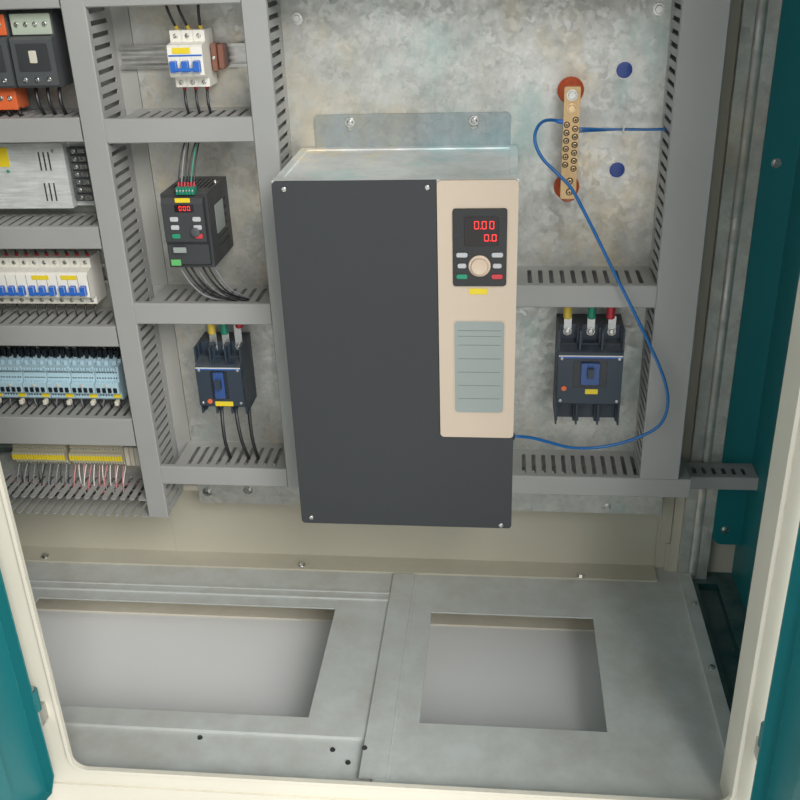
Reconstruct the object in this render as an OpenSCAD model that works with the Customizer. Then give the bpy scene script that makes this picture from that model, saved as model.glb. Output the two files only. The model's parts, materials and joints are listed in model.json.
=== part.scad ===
// Electrical control cabinet of a plastic extruder, with its doors standing open.
// The front looks along -Y, the floor it stands on is Z = 0, X runs to the right.

/* [Cabinet] */
// Width of the steel body
cab_w = 1600; // [1500:10:1900]
// Depth of the steel body, without the doors
cab_d = 600; // [560:10:800]
// Height of the whole cabinet with its plinth
cab_h = 1800; // [1700:10:2200]
// Height of the plinth
plinth_h = 100; // [80:5:150]
// Thickness of the sheet that the body is bent from
sheet_t = 2.5; // [1.5:0.5:4]
// Thickness of the plinth's channel
plinth_t = 4; // [3:0.5:6]
// Distance from the rear face of the body to the face of the mounting plates
plate_back = 66; // [50:1:120]

/* [Door opening] */
// Left edge of the door opening
open_x0 = -302; // [-340:1:-280]
// Right edge of the door opening
open_x1 = 670; // [640:1:690]
// Lower edge of the door opening
open_z0 = 135; // [125:1:160]
// Distance from the upper edge of the opening to the top of the cabinet
open_top = 45; // [30:1:80]
// Width of the rolled lip round the opening
lip_w = 7; // [5:0.5:10]
// How far the rolled lip stands out from the front frame
lip_h = 5; // [3:0.5:6]
// Radius of the corners of the opening
open_r = 22; // [10:1:40]

/* [Doors] */
// Thickness of a door leaf with its folded edge
door_t = 25; // [20:1:30]
// Gap between a shut leaf and the front frame
door_gap = 5; // [5:1:8]
// Distance from the opening's edge to the outer edge of a leaf
door_lap = 16; // [16:0.5:24]
// Gap between the two shut leaves
leaf_gap = 6; // [5:1:10]
// Angle at which the leaves stand open
door_angle = 105; // [90:1:115]
// Thickness of the leaf's sheet
door_sheet = 2; // [1.5:0.5:3]
// Distance from a leaf's outer edge to its hinge axis
hinge_out = 10; // [9:1:14]
// Radius of the hinge pin
pin_r = 4; // [3:0.5:5]

/* [Floor] */
// Height of the floor plate above the plinth
floor_rise = 10; // [8:1:20]
// Thickness of the floor plate
floor_t = 3; // [2:0.5:5]
// Width of the cable gutter at the right of the floor plate
gutter_w = 88; // [80:1:110]
// Left edge of the left cable cut-out
hole_l_x0 = -560; // [-600:1:-500]
// Right edge of the left cable cut-out
hole_l_x1 = 31; // [0:1:60]
// Left edge of the right cable cut-out
hole_r_x0 = 214; // [200:1:240]
// Right edge of the right cable cut-out
hole_r_x1 = 514; // [480:1:560]
// Front edge of the cable cut-outs
hole_y0 = -150; // [-180:1:-120]
// Rear edge of the cable cut-outs
hole_y1 = 133; // [120:1:150]
// Left edge of the beam that covers the joint of the two floor plates
beam_x0 = 131; // [120:1:150]
// Width of that beam
beam_w = 42; // [30:1:60]

/* [Mounting plates] */
// Thickness of the mounting plates
plate_t = 2.5; // [2:0.5:4]
// Lower edge of the mounting plates
plate_z0 = 275; // [260:1:300]
// Distance from the plates' upper edge to the top of the cabinet
plate_top = 110; // [90:1:160]
// Right edge of the main mounting plate
plate_x1 = 637; // [620:1:650]

/* [Cable ducts] */
// Depth of the slotted ducts
duct_d = 98; // [80:1:110]
// Width of a common slotted duct
duct_w = 37; // [30:1:45]
// Width of the wide duct at the right
duct_wide = 65; // [50:1:70]
// Wall of the slotted ducts
duct_t = 2; // [1.5:0.5:3]
// Distance from slot to slot
slot_pitch = 17.4; // [14:0.1:30]
// Width of a slot
slot_w = 7; // [5:1:10]

/* [Main drive] */
// Width of the main drive
drive_w = 345; // [300:1:360]
// Height of the main drive
drive_h = 568; // [500:1:580]
// Depth of the main drive
drive_d = 230; // [180:1:240]
// Lower edge of the main drive
drive_z0 = 388; // [380:1:400]
// Width of the pale front strip with the keypad
strip_w = 113; // [100:1:130]
// Height of the pale front strip
strip_h = 400; // [350:1:420]

/* [Anchors] */
// Distance from the plinth's face to its anchor holes
anchor_in = 58; // [50:1:65]
// Radius of the anchor holes
anchor_r = 7; // [5:0.5:9]

/* [Hidden] */
eps = 0.01;
seat = 0.2;

front_y = -cab_d / 2;
back_y = cab_d / 2;
plate_y = back_y - plate_back;
half_w = cab_w / 2;
roof_z = cab_h - sheet_t;
floor_z = plinth_h + floor_rise;
open_z1 = cab_h - open_top;
plate_z1 = cab_h - plate_top;
inner_x = half_w - sheet_t;
wall_y = back_y - sheet_t;
frame_y = front_y + sheet_t;

// Plinth: its channel stands a little proud of the body
plinth_out = 3;
plinth_foot = 75;
plinth_flange = 35;

// Floor
floor_x1 = half_w - gutter_w;
floor_step = 6;
floor_rail_w = 23.5;
floor_rail_h = 8;
ledge_d = 49.5;
ledge_h = 4;

// Inner corner structure at the right
corner_y = back_y - 30;
corner_x0 = half_w - 111;
corner_x1 = half_w - 56;
corner_t = 2;
post_x0 = half_w - 128;
post_d = 57;
return_z0 = 188;
return_r = 20;

// Door leaves
door_y1 = front_y - door_gap;
door_y0 = door_y1 - door_t;
leaf_x0 = open_x0 - door_lap;
leaf_x1 = open_x1 + door_lap;
leaf_mid = (open_x0 + open_x1) / 2;
leaf_below = 29;
leaf_above = 30;
leaf_z0 = open_z0 - leaf_below;
leaf_z1 = open_z1 + leaf_above;
leaf_w_l = leaf_mid - leaf_gap / 2 - leaf_x0;
leaf_w_r = leaf_x1 - leaf_mid - leaf_gap / 2;
axis_y = front_y - door_gap - door_t / 2;
axis_l = leaf_x0 - hinge_out;
axis_r = leaf_x1 + hinge_out;
hinge_zs = [leaf_z0 + 160, (leaf_z0 + leaf_z1) / 2, leaf_z1 - 190];
knuckle_h = 36;
knuckle_r = hinge_out - 2;
lug_h = 30;
lug_half = 5;
pin_clear = 0.4;
hinge_play = 1;

// Mounting plates and the strip between them
strip_x0 = -312;
strip_x1 = -243.5;
strip_z0 = plate_z0 + 38;
plate_gap = 1;
plate_left_x0 = -half_w + 40;
plate_rail_h = 40;
plate_rail_in = 60;
plate_rail_x1 = half_w - 176;

// Slotted ducts: the cover clips round the body, the slots end in a half circle
cover_side = 10;
cover_step = 0.8;
cover_round = 1.5;
slot_front = 14;
slot_back = 18;
duct_notch = 25;
duct_joint = 1.2;
duct_y0 = plate_y - duct_d;

// Left edge of each upright duct
v1_x = -308;
v2_x = -40;
v3_x = 577;
// Lower edges of the level ducts
top_z = plate_z1 - 50;
mid_zs = [375, 687, 985, 1180, 1420, top_z];
left_zs = [645, 817, 988, 1180, 1420, top_z];
left_tall_z = 452;
left_tall_h = 55;
left_open_z = 303;
right_zs = [372, 720, 1186, top_z];
duct_left_x0 = plate_left_x0 + 12;
low_duct_out = 20;
small_duct_z = 342;
small_duct_w = 26;
small_duct_d = 54;

// Main drive
drive_x0 = 12.7;
drive_x1 = drive_x0 + drive_w;
drive_z1 = drive_z0 + drive_h;
drive_y0 = plate_y - drive_d;
drive_cover_t = 4;
drive_r = 6;
strip_out = 3;
strip_left = drive_x1 - strip_w;
panel_x0 = strip_left + 22;
panel_w = 76;
keypad_z0 = drive_z1 - 152;
keypad_h = 113;
knob_z = keypad_z0 + 31;
label_z0 = drive_z1 - 357;
label_h = 152;
louvre_n = 14;
louvre_pitch = 14;
louvre_h = 4;
louvre_cut = 3;
flange_t = 3;
flange_x0 = drive_x0 + 23.3;
flange_x1 = drive_x1 - 10.7;
flange_z1 = drive_z1 + 51;
keyhole_r = 4;
keyhole_wide = 6;

// Rail-mounted devices, row by row
rail_h = 35;
rail_d = 7.5;
rail_front = plate_y - rail_d;
pole_w = 17.6;
pole_pitch = 18;
row_x1 = v1_x - 8;
top_rail_z = mid_zs[3] - 80;
row0_z = left_zs[3] - 58;
row2_z = left_zs[1] - 72;
row3_z = left_zs[0] - 78;
row4_z = left_tall_z - 56;

// Neutral bar
bar_x = 437;
bar_w = 24;
bar_t = 6;
bar_y = plate_y - 50;
bar_z0 = 882;
bar_z1 = 1050;

module box(x0, x1, y0, y1, z0, z1) {
    translate([x0, y0, z0]) cube([x1 - x0, y1 - y0, z1 - z0]);
}

// An outline in Y and Z, drawn out along X
module along_x(x0, x1) {
    translate([x0, 0, 0]) rotate([90, 0, 90]) linear_extrude(x1 - x0) children();
}

module field(a0, a1, b0, b1) {
    translate([a0, b0]) square([a1 - a0, b1 - b0]);
}

// A flat plate in X and Z with round corners, from y0 back to y1
module round_plate(x0, x1, y0, y1, z0, z1, r) {
    translate([0, y1, 0]) rotate([90, 0, 0]) linear_extrude(y1 - y0) {
        field(x0, x1, z0 + r, z1 - r);
        field(x0 + r, x1 - r, z0, z1);
        for (x = [x0 + r, x1 - r], z = [z0 + r, z1 - r]) translate([x, z]) circle(r = r, $fn = 32);
    }
}

// Steel body

module plinth() {
    x = half_w + plinth_out;
    y = cab_d / 2 + plinth_out;
    t = plinth_t;
    color("#d9d5c2") difference() {
        box(-x, x, -y, y, 0, plinth_h);
        box(-x + t, x - t, -y + t, y - t, t, plinth_h - t);
        box(-x + plinth_foot, x - plinth_foot, -y + plinth_foot, y - plinth_foot, -1, t + 1);
        box(-x + plinth_flange, x - plinth_flange, -y + plinth_flange, y - plinth_flange,
            plinth_h - t - 1, plinth_h + 1);
        for (sx = [-1, 1], sy = [-1, 1])
            translate([sx * (x - anchor_in), sy * (y - anchor_in), -1])
                cylinder(r = anchor_r, h = t + 2, $fn = 48);
    }
}

// The left plate steps down before its cut-out
module floor_left_outline() {
    t = floor_t;
    step_y = hole_y0 - 35;
    low_z = floor_z - floor_step;
    field(frame_y, frame_y + t, plinth_h, low_z);
    field(frame_y, step_y, low_z - t, low_z);
    field(step_y - t, step_y, low_z - t, floor_z);
    field(step_y - t, wall_y, floor_z - t, floor_z);
    field(wall_y - t, wall_y, plinth_h, floor_z);
}

// Its raised rim behind the cut-out, with a shallow groove along it
module floor_rim_outline() {
    y = hole_y1 + 27;
    z = floor_z - floor_t;
    field(y, y + 5, z, floor_z + 4);
    field(y + 5 - eps, y + 20, z, floor_z + 2);
    field(y + 20 - eps, y + 25, z, floor_z + 4);
}

module floor_right_outline() {
    t = floor_t;
    field(frame_y, frame_y + t, plinth_h, floor_z);
    field(frame_y, wall_y, floor_z - t, floor_z);
    field(wall_y - t, wall_y, plinth_h, floor_z);
}

module floor_plate() {
    t = floor_t;
    joint_x = beam_x0 + beam_w / 2;
    rail_x0 = floor_x1 - floor_rail_w;
    rail_z1 = floor_z + floor_rail_h;
    rail_y1 = corner_y - seat;
    color("#d5dad8") difference() {
        union() {
            along_x(-inner_x, joint_x) floor_left_outline();
            along_x(-inner_x, beam_x0 - 1) floor_rim_outline();
            along_x(joint_x - eps, rail_x0) floor_right_outline();
            difference() {
                box(rail_x0 - eps, floor_x1, frame_y, rail_y1, plinth_h, rail_z1);
                box(rail_x0 + t, floor_x1 - t, frame_y + t, rail_y1 - t, plinth_h - 1, rail_z1 - t);
                box(rail_x0 - 1, rail_x0 + t + 1, frame_y + t, rail_y1 - t, plinth_h - 1, floor_z - t);
            }
        }
        box(hole_l_x0, hole_l_x1, hole_y0, hole_y1, plinth_h, floor_z + 1);
        box(hole_r_x0, hole_r_x1, hole_y0, hole_y1, plinth_h, floor_z + 1);
    }
}

module floor_beam() {
    groove = 6;
    y0 = front_y + 30;
    y1 = back_y - ledge_d - 8;
    color("#dfe3e0") {
        box(beam_x0, beam_x0 + beam_w, y0, y1, floor_z, floor_z + 5);
        box(beam_x0 + beam_w - eps, beam_x0 + beam_w + groove, y0, y1, floor_z, floor_z + 1.5);
    }
}

// Gutter: a tray that hangs between its two flanges on the plinth
module floor_gutter() {
    t = floor_t;
    x0 = floor_x1 + 1;
    tray_x0 = floor_x1 + 10;
    tray_x1 = half_w - 34;
    tray_y = cab_d / 2 - 38;
    tray_z = plinth_h - 16;
    color("#23423f") difference() {
        union() {
            box(x0, inner_x, frame_y, wall_y, plinth_h, plinth_h + t);
            box(tray_x0, tray_x1, -tray_y, tray_y, tray_z, plinth_h + t);
        }
        box(tray_x0 + t, tray_x1 - t, -tray_y + t, tray_y - t, tray_z + t, plinth_h + t + 1);
    }
}

// A side wall and its return behind the mounting plates
module side_wall(side) {
    x = half_w - corner_x1 - seat;
    color("#1d8f86") translate([side * half_w, 0, 0]) mirror([side > 0 ? 1 : 0, 0, 0]) {
        box(0, sheet_t, front_y, back_y, plinth_h, roof_z);
        difference() {
            box(sheet_t - eps, x, corner_y, corner_y + sheet_t, return_z0, roof_z);
            translate([x - return_r, corner_y + sheet_t + 1, return_z0 + return_r]) rotate([90, 0, 0])
                difference() {
                    translate([0, -return_r - 1]) cube([return_r + 1, return_r + 1, sheet_t + 2]);
                    translate([0, 0, -1]) cylinder(r = return_r, h = sheet_t + 4, $fn = 48);
                }
        }
    }
}

module side_wall_left() { side_wall(-1); }
module side_wall_right() { side_wall(1); }

// The back wall with its foot ledge, a welded post and a raised strip at the right
module back_wall() {
    post_x1 = corner_x0 - 0.5;
    ledge_x1 = post_x0 - 25;
    seam_d = 1;
    color("#cfc9b4") difference() {
        union() {
            box(-inner_x, inner_x, wall_y, back_y, plinth_h, roof_z);
            box(-inner_x, ledge_x1, back_y - ledge_d - sheet_t, wall_y + eps, floor_z, floor_z + ledge_h);
            box(post_x0, post_x1, wall_y - 12.5, wall_y + eps, floor_z, roof_z);
            box(post_x0 - 8, post_x1, wall_y - 9.5, wall_y + eps, floor_z, 173);
            box(post_x0 - 21, post_x0 - 1, wall_y - 5.5, wall_y + eps, 173, roof_z);
        }
        for (x = [post_x0 - 25, strip_x0 - 20])
            box(x - 1, x + 1, wall_y - 1, wall_y + seam_d, floor_z + ledge_h, plate_z0 + 35);
    }
}

module roof() {
    color("#1d8f86") box(-half_w, half_w, front_y, back_y, roof_z, cab_h);
}

module opening_outline(grow) {
    r = open_r + grow;
    x0 = open_x0 - grow;
    x1 = open_x1 + grow;
    z0 = open_z0 - grow;
    z1 = open_z1 + grow;
    field(x0, x1, z0 + r, z1 - r);
    field(x0 + r, x1 - r, z0, z1);
    for (x = [x0 + r, x1 - r], z = [z0 + r, z1 - r]) translate([x, z]) circle(r = r, $fn = 48);
}

// Front frame: rolled lip round the opening, inner sill below and a post at the hinge side
module front_frame() {
    color("#d9d5c2") {
        difference() {
            union() {
                box(-inner_x, inner_x, front_y, frame_y, plinth_h, roof_z);
                translate([0, front_y + eps, 0]) rotate([90, 0, 0])
                    linear_extrude(lip_h - 1.5 + eps) opening_outline(lip_w);
                translate([0, front_y, 0]) rotate([90, 0, 0])
                    linear_extrude(lip_h) opening_outline(lip_w - 1.5);
            }
            translate([0, frame_y + 1, 0]) rotate([90, 0, 0])
                linear_extrude(sheet_t + lip_h + 2) opening_outline(0);
        }
        box(open_x1, open_x1 + sheet_t, frame_y - eps, front_y + post_d, floor_z, roof_z);
    }
}

module fixed_panel() {
    x0 = -half_w + 30;
    x1 = axis_l - 26;
    color("#1d8f86") difference() {
        box(x0, x1, door_y0, front_y, leaf_z0, leaf_z1);
        box(x0 + door_sheet, x1 - door_sheet, door_y0 + door_sheet, front_y + 1,
            leaf_z0 + door_sheet, leaf_z1 - door_sheet);
    }
}

// A leaf as it hangs when shut: folded tray, free edge less deep, hat-shaped stiffener, and
// the folds relieved at the hinge-side corners. The hinge axis is at X = 0, the leaf runs along +X.
module leaf(width) {
    x0 = hinge_out;
    x1 = hinge_out + width;
    y0 = -door_t / 2;
    y1 = door_t / 2;
    free_d = 13;
    rib_w = 60;
    rib_d = 14;
    rib_x = x0 + 70;
    relief_h = 45;
    relief_d = 14;
    difference() {
        union() {
            difference() {
                box(x0, x1, y0, y1, leaf_z0, leaf_z1);
                box(x0 + door_sheet, x1 - door_sheet, y0 + door_sheet, y1 + 1,
                    leaf_z0 + door_sheet, leaf_z1 - door_sheet);
            }
            along_x(rib_x, rib_x + rib_w)
                polygon([[y0 + door_sheet - eps, leaf_z0 + 60], [y0 + rib_d, leaf_z0 + 72],
                    [y0 + rib_d, leaf_z1 - 72], [y0 + door_sheet - eps, leaf_z1 - 60]]);
        }
        box(x1 - door_sheet - 1, x1 + 1, y0 + free_d, y1 + 1, leaf_z0 - 1, leaf_z1 + 1);
        along_x(x0 - 1, x0 + relief_d) {
            polygon([[y1 + 1, leaf_z0 - 1], [y1 + 1, leaf_z0 + relief_h], [y1 - relief_d, leaf_z0 - 1]]);
            polygon([[y1 + 1, leaf_z1 + 1], [y1 + 1, leaf_z1 - relief_h], [y1 - relief_d, leaf_z1 + 1]]);
        }
    }
    for (z = hinge_zs) difference() {
        union() {
            translate([0, 0, z]) cylinder(r = knuckle_r, h = knuckle_h, $fn = 48);
            box(0, x0 + eps, -3, 3, z, z + knuckle_h);
        }
        translate([0, 0, z - 1]) cylinder(r = pin_r + pin_clear, h = knuckle_h + 2, $fn = 48);
    }
}

module door_left() {
    color("#12a196") translate([axis_l, axis_y, 0]) rotate([0, 0, -door_angle]) leaf(leaf_w_l);
}

module door_right() {
    color("#12a196") translate([axis_r, axis_y, 0]) rotate([0, 0, door_angle])
        mirror([1, 0, 0]) leaf(leaf_w_r);
}

// Swing handle: its dish on the leaf and the grip in it
module door_handle() {
    x = hinge_out + leaf_w_r - 45;
    y = -door_t / 2;
    z = (leaf_z0 + leaf_z1) / 2;
    color("#2b2d2e") translate([axis_r, axis_y, 0]) rotate([0, 0, door_angle]) mirror([1, 0, 0]) {
        round_plate(x - 16, x + 16, y - 8, y, z - 110, z + 110, 14);
        along_x(x - 11, x + 11)
            polygon([[y - 8 + eps, z - 96], [y - 20, z - 92], [y - 24, z - 60], [y - 18, z + 50],
                [y - 8 + eps, z + 62]]);
    }
}

module hinge_lugs(axis_x) {
    color("#9aa0a2") for (z = hinge_zs) {
        box(axis_x - lug_half, axis_x + lug_half, axis_y, front_y, z - hinge_play - lug_h, z - hinge_play);
        translate([axis_x, axis_y, z - hinge_play - lug_h]) cylinder(r = lug_half, h = lug_h, $fn = 48);
        translate([axis_x, axis_y, z - hinge_play - eps])
            cylinder(r = pin_r, h = knuckle_h + hinge_play + 4, $fn = 48);
    }
}

module hinges_left() { hinge_lugs(axis_l); }
module hinges_right() { hinge_lugs(axis_r); }

// Inner frame and mounting plates

module plate_rails() {
    y0 = plate_y + plate_t;
    x0 = -half_w + plate_rail_in;
    color("#c9c6b4") for (z = [plate_z0 + 25, plate_z1 - 60])
        difference() {
            box(x0, plate_rail_x1, y0, wall_y, z, z + plate_rail_h);
            box(x0 - 1, plate_rail_x1 + 1, y0 + sheet_t, wall_y + 1, z + sheet_t, z + plate_rail_h - sheet_t);
        }
}

module plate_main() {
    color("#b9bcb8") box(strip_x1 + plate_gap, plate_x1, plate_y, plate_y + plate_t, plate_z0, plate_z1);
}

module plate_left() {
    color("#b9bcb8") box(plate_left_x0, strip_x0 - plate_gap, plate_y, plate_y + plate_t, plate_z0, plate_z1);
}

module joint_strip() {
    color("#a9a9a5") box(strip_x0, strip_x1, plate_y, plate_y + plate_t, strip_z0, plate_z1);
}

// Rolled corner rail: flat flanges, a deep groove and a round bead beside it
module corner_outline() {
    y = corner_y + 3;
    g = corner_x0 + 17;
    bead_x = corner_x0 + 28;
    bead_r = 8;
    field(corner_x0, corner_x0 + corner_t, y, wall_y);
    field(corner_x0, g + corner_t, y, y + corner_t);
    field(g, g + corner_t, y, y + 10);
    field(g, g + 5 + corner_t, y + 10 - corner_t, y + 10);
    field(g + 5, g + 5 + corner_t, y, y + 10);
    field(g + 5, corner_x1, y, y + corner_t);
    field(corner_x1 - corner_t, corner_x1, y, wall_y);
    intersection() {
        field(bead_x - bead_r, bead_x + bead_r, corner_y, y + eps);
        translate([bead_x, corner_y + bead_r * 1.5]) circle(r = bead_r * 1.5, $fn = 64);
    }
}

module corner_rail() {
    z0 = plinth_h + floor_t;
    color("#8f8d82") translate([0, 0, z0]) linear_extrude(roof_z - z0) corner_outline();
}

// Slotted ducts

module duct_outline(depth, width) {
    r = cover_round;
    s = cover_step;
    polygon([[r, 0], [cover_side, 0], [cover_side, s], [depth, s], [depth, width - s],
        [cover_side, width - s], [cover_side, width], [r, width], [0, width - r], [0, r]]);
}

module slot_outline(length) {
    r = slot_w / 2;
    square([slot_w, length - r]);
    translate([r, length - r]) circle(r = r, $fn = 24);
}

// A closed channel along X; its two side walls are slotted and may start short of the cover's end
module duct(length, width, depth = duct_d, notch = 0) {
    wall = duct_t + cover_step;
    n = floor((length - notch - slot_pitch) / slot_pitch);
    first = notch + (length - notch - (n - 1) * slot_pitch - slot_w) / 2;
    difference() {
        along_x(0, length) duct_outline(depth, width);
        translate([-1, duct_t, wall]) cube([length + 2, depth - 2 * duct_t, width - 2 * wall]);
        translate([0, 0, -1]) linear_extrude(width + 2)
            for (i = [0 : n - 1])
                translate([first + i * slot_pitch, slot_front]) slot_outline(depth - slot_front - slot_back);
        if (notch > 0) translate([-1, cover_side, -1])
            cube([notch + 1, depth - duct_t - cover_side, width + 2]);
    }
}

module duct_across(x0, x1, z0, width, notch = 0) {
    translate([x0, duct_y0, z0]) duct(x1 - x0, width, duct_d, notch);
}

module duct_up(x0, z0, z1, width) {
    translate([x0 + width, duct_y0, z0]) rotate([0, -90, 0]) duct(z1 - z0, width);
}

module duct_v1() { color("#a3a5a2") duct_up(v1_x, left_open_z, plate_z1 - 10, duct_w); }
module duct_v2() { color("#a3a5a2") duct_up(v2_x, mid_zs[0], plate_z1 - 10, duct_w); }
module duct_v3() {
    color("#a3a5a2") duct_up(v3_x, right_zs[0] + duct_w + seat, plate_z1 - 10, duct_wide);
}

module ducts_left() {
    x1 = v1_x - duct_joint;
    color("#a3a5a2") {
        for (z = left_zs) duct_across(duct_left_x0, x1, z, duct_w);
        duct_across(duct_left_x0, x1, left_tall_z, left_tall_h);
    }
}

module ducts_middle() {
    color("#a3a5a2") for (z = mid_zs)
        duct_across(v1_x + duct_w + seat, v2_x - seat, z, duct_w, duct_notch);
}

// The lowest one runs on under the wide duct; a small one crosses before the corner rail
module ducts_right() {
    x0 = drive_x1 + 2;
    color("#a3a5a2") {
        duct_across(x0, v3_x + duct_wide + low_duct_out, right_zs[0], duct_w);
        duct_across(x0, v3_x - seat, right_zs[1], duct_w);
        for (z = [right_zs[2], right_zs[3]])
            duct_across(v2_x + duct_w + seat, v3_x - seat, z, duct_w);
        translate([v3_x + duct_wide + 8, corner_y - small_duct_d - seat, small_duct_z])
            duct(inner_x - seat - v3_x - duct_wide - 8, small_duct_w, small_duct_d);
    }
}

// The duct without its cover: fingers with round tips
module duct_open() {
    length = v1_x - seat - duct_left_x0;
    n = floor((length - slot_pitch) / slot_pitch);
    first = (length - (n - 1) * slot_pitch - slot_w) / 2;
    tip = 3;
    color("#b4b6b2") translate([duct_left_x0, duct_y0, left_open_z]) difference() {
        cube([length, duct_d, duct_w]);
        translate([-1, -1, duct_t]) cube([length + 2, duct_d - duct_t + 1, duct_w - 2 * duct_t]);
        translate([0, 0, -1]) linear_extrude(duct_w + 2)
            for (i = [0 : n - 1]) translate([first + i * slot_pitch, 0]) {
                translate([0, -1]) slot_outline(duct_d - slot_back + 1);
                polygon([[-tip, -1], [-tip, 0], [0, tip], [slot_w, tip], [slot_w + tip, 0], [slot_w + tip, -1]]);
            }
    }
}

module din_rail(x0, x1, z) {
    h = rail_h / 2;
    foot = 13.5;
    t = 1;
    y = plate_y;
    along_x(x0, x1)
        polygon([[y, z - foot], [y - rail_d + t, z - foot], [y - rail_d + t, z - h], [y - rail_d, z - h],
            [y - rail_d, z - foot + t], [y - t, z - foot + t], [y - t, z + foot - t],
            [y - rail_d, z + foot - t], [y - rail_d, z + h], [y - rail_d + t, z + h],
            [y - rail_d + t, z + foot], [y, z + foot]]);
}

module din_rails() {
    color("#c8cac6") {
        din_rail(v1_x + duct_w + 6, v2_x - 6, top_rail_z);
        for (z = [row0_z, row2_z, row3_z, row4_z]) din_rail(duct_left_x0 + 8, v1_x - 6, z);
    }
}

// Main drive

module drive_chassis() {
    y0 = drive_y0 + drive_cover_t;
    y1 = plate_y - flange_t;
    color("#8f9497") difference() {
        box(drive_x0, drive_x1, y0, y1, drive_z0, drive_z1);
        for (i = [0 : louvre_n - 1], z = [drive_z0 + 50, drive_z1 - 50 - (louvre_n - 1) * louvre_pitch]) {
            dz = z + i * louvre_pitch;
            box(drive_x0 - 1, drive_x0 + louvre_cut, y0 + 36, y1 - 36, dz, dz + louvre_h);
            box(drive_x1 - louvre_cut, drive_x1 + 1, y0 + 36, y1 - 36, dz, dz + louvre_h);
        }
        box(drive_x0 + 12, drive_x1 - 12, y0 + 24, y1 - 14, drive_z1 - 2, drive_z1 + 1);
    }
}

module drive_cover() {
    color("#3a3d40") difference() {
        round_plate(drive_x0, drive_x1, drive_y0, drive_y0 + drive_cover_t, drive_z0, drive_z1, drive_r);
        box(strip_left, drive_x1 + 1, drive_y0 - 1, drive_y0 + drive_cover_t + 1,
            drive_z1 - strip_h, drive_z1 + 1);
    }
}

module drive_strip() {
    y0 = drive_y0 - strip_out;
    color("#e3dccb") {
        difference() {
            round_plate(strip_left + 0.5, drive_x1, y0, drive_y0 + drive_cover_t,
                drive_z1 - strip_h + 0.5, drive_z1, drive_r);
            round_plate(panel_x0, panel_x0 + panel_w, y0 - 1, drive_y0, keypad_z0, keypad_z0 + keypad_h, 4);
        }
        round_plate(panel_x0, panel_x0 + panel_w, y0 - 0.8, y0 + eps, label_z0, label_z0 + label_h, 6);
    }
}

// Operator panel: flat face with six push buttons round the turning knob
module drive_keypad() {
    c = 0.4;
    y0 = drive_y0 - strip_out - 3;
    x = panel_x0 + panel_w / 2;
    button_h = 3.2;
    color("#26282a") {
        round_plate(panel_x0 + c, panel_x0 + panel_w - c, y0, drive_y0, keypad_z0 + c,
            keypad_z0 + keypad_h - c, 4);
        translate([x, y0 + eps, knob_z]) rotate([90, 0, 0]) {
            cylinder(r = 15, h = 2, $fn = 64);
            cylinder(r = 11.5, h = 6, $fn = 64);
        }
        for (side = [-1, 1], row = [-1, 0, 1]) {
            button_x = x + side * 25;
            button_z = knob_z + row * 16;
            button_w = row == 0 ? 6 : 7.8;
            round_plate(button_x - button_w, button_x + button_w, y0 - 1.5, y0 + eps,
                button_z - button_h, button_z + button_h, 2.5);
        }
    }
}

module drive_flange() {
    color("#9ea3a5") difference() {
        round_plate(flange_x0, flange_x1, plate_y - flange_t, plate_y, drive_z0 - 20, flange_z1, 8);
        for (x = [flange_x0 + 57.5, flange_x1 - 57.5]) translate([x, plate_y + 1, 0]) rotate([90, 0, 0]) {
            translate([0, flange_z1 - 12]) cylinder(r = keyhole_r, h = flange_t + 2, $fn = 32);
            translate([0, flange_z1 - 20]) cylinder(r = keyhole_wide, h = flange_t + 2, $fn = 32);
        }
    }
}

// Devices

// Small drive: finned body, terminal cover below and a sloping operator face
module small_drive() {
    x0 = -192;
    x1 = -118;
    z0 = 793;
    z1 = 911;
    y0 = plate_y - 116;
    color("#37393b") {
        difference() {
            box(x0, x1, y0, plate_y, z0, z1);
            for (i = [0 : 8])
                box(x0 + 8 + i * 7, x0 + 11 + i * 7, y0 + 40, plate_y - 20, z1 - 4, z1 + 1);
            for (i = [0 : 5])
                box(x1 - 2.5, x1 + 1, y0 + 40, plate_y - 20, z0 + 20 + i * 13, z0 + 25 + i * 13);
        }
        along_x(x0 + 4, x1 - 4)
            polygon([[y0 + eps, z0 + 4], [y0 - 9, z0 + 8], [y0 - 9, z0 + 40], [y0 - 14, z0 + 46],
                [y0 - 14, z1 - 12], [y0 - 11, z1 - 4], [y0 + eps, z1 - 4]]);
        translate([x1 - 20, y0 - 14 + eps, z0 + 62]) rotate([90, 0, 0]) cylinder(r = 7, h = 4, $fn = 32);
    }
}

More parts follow.
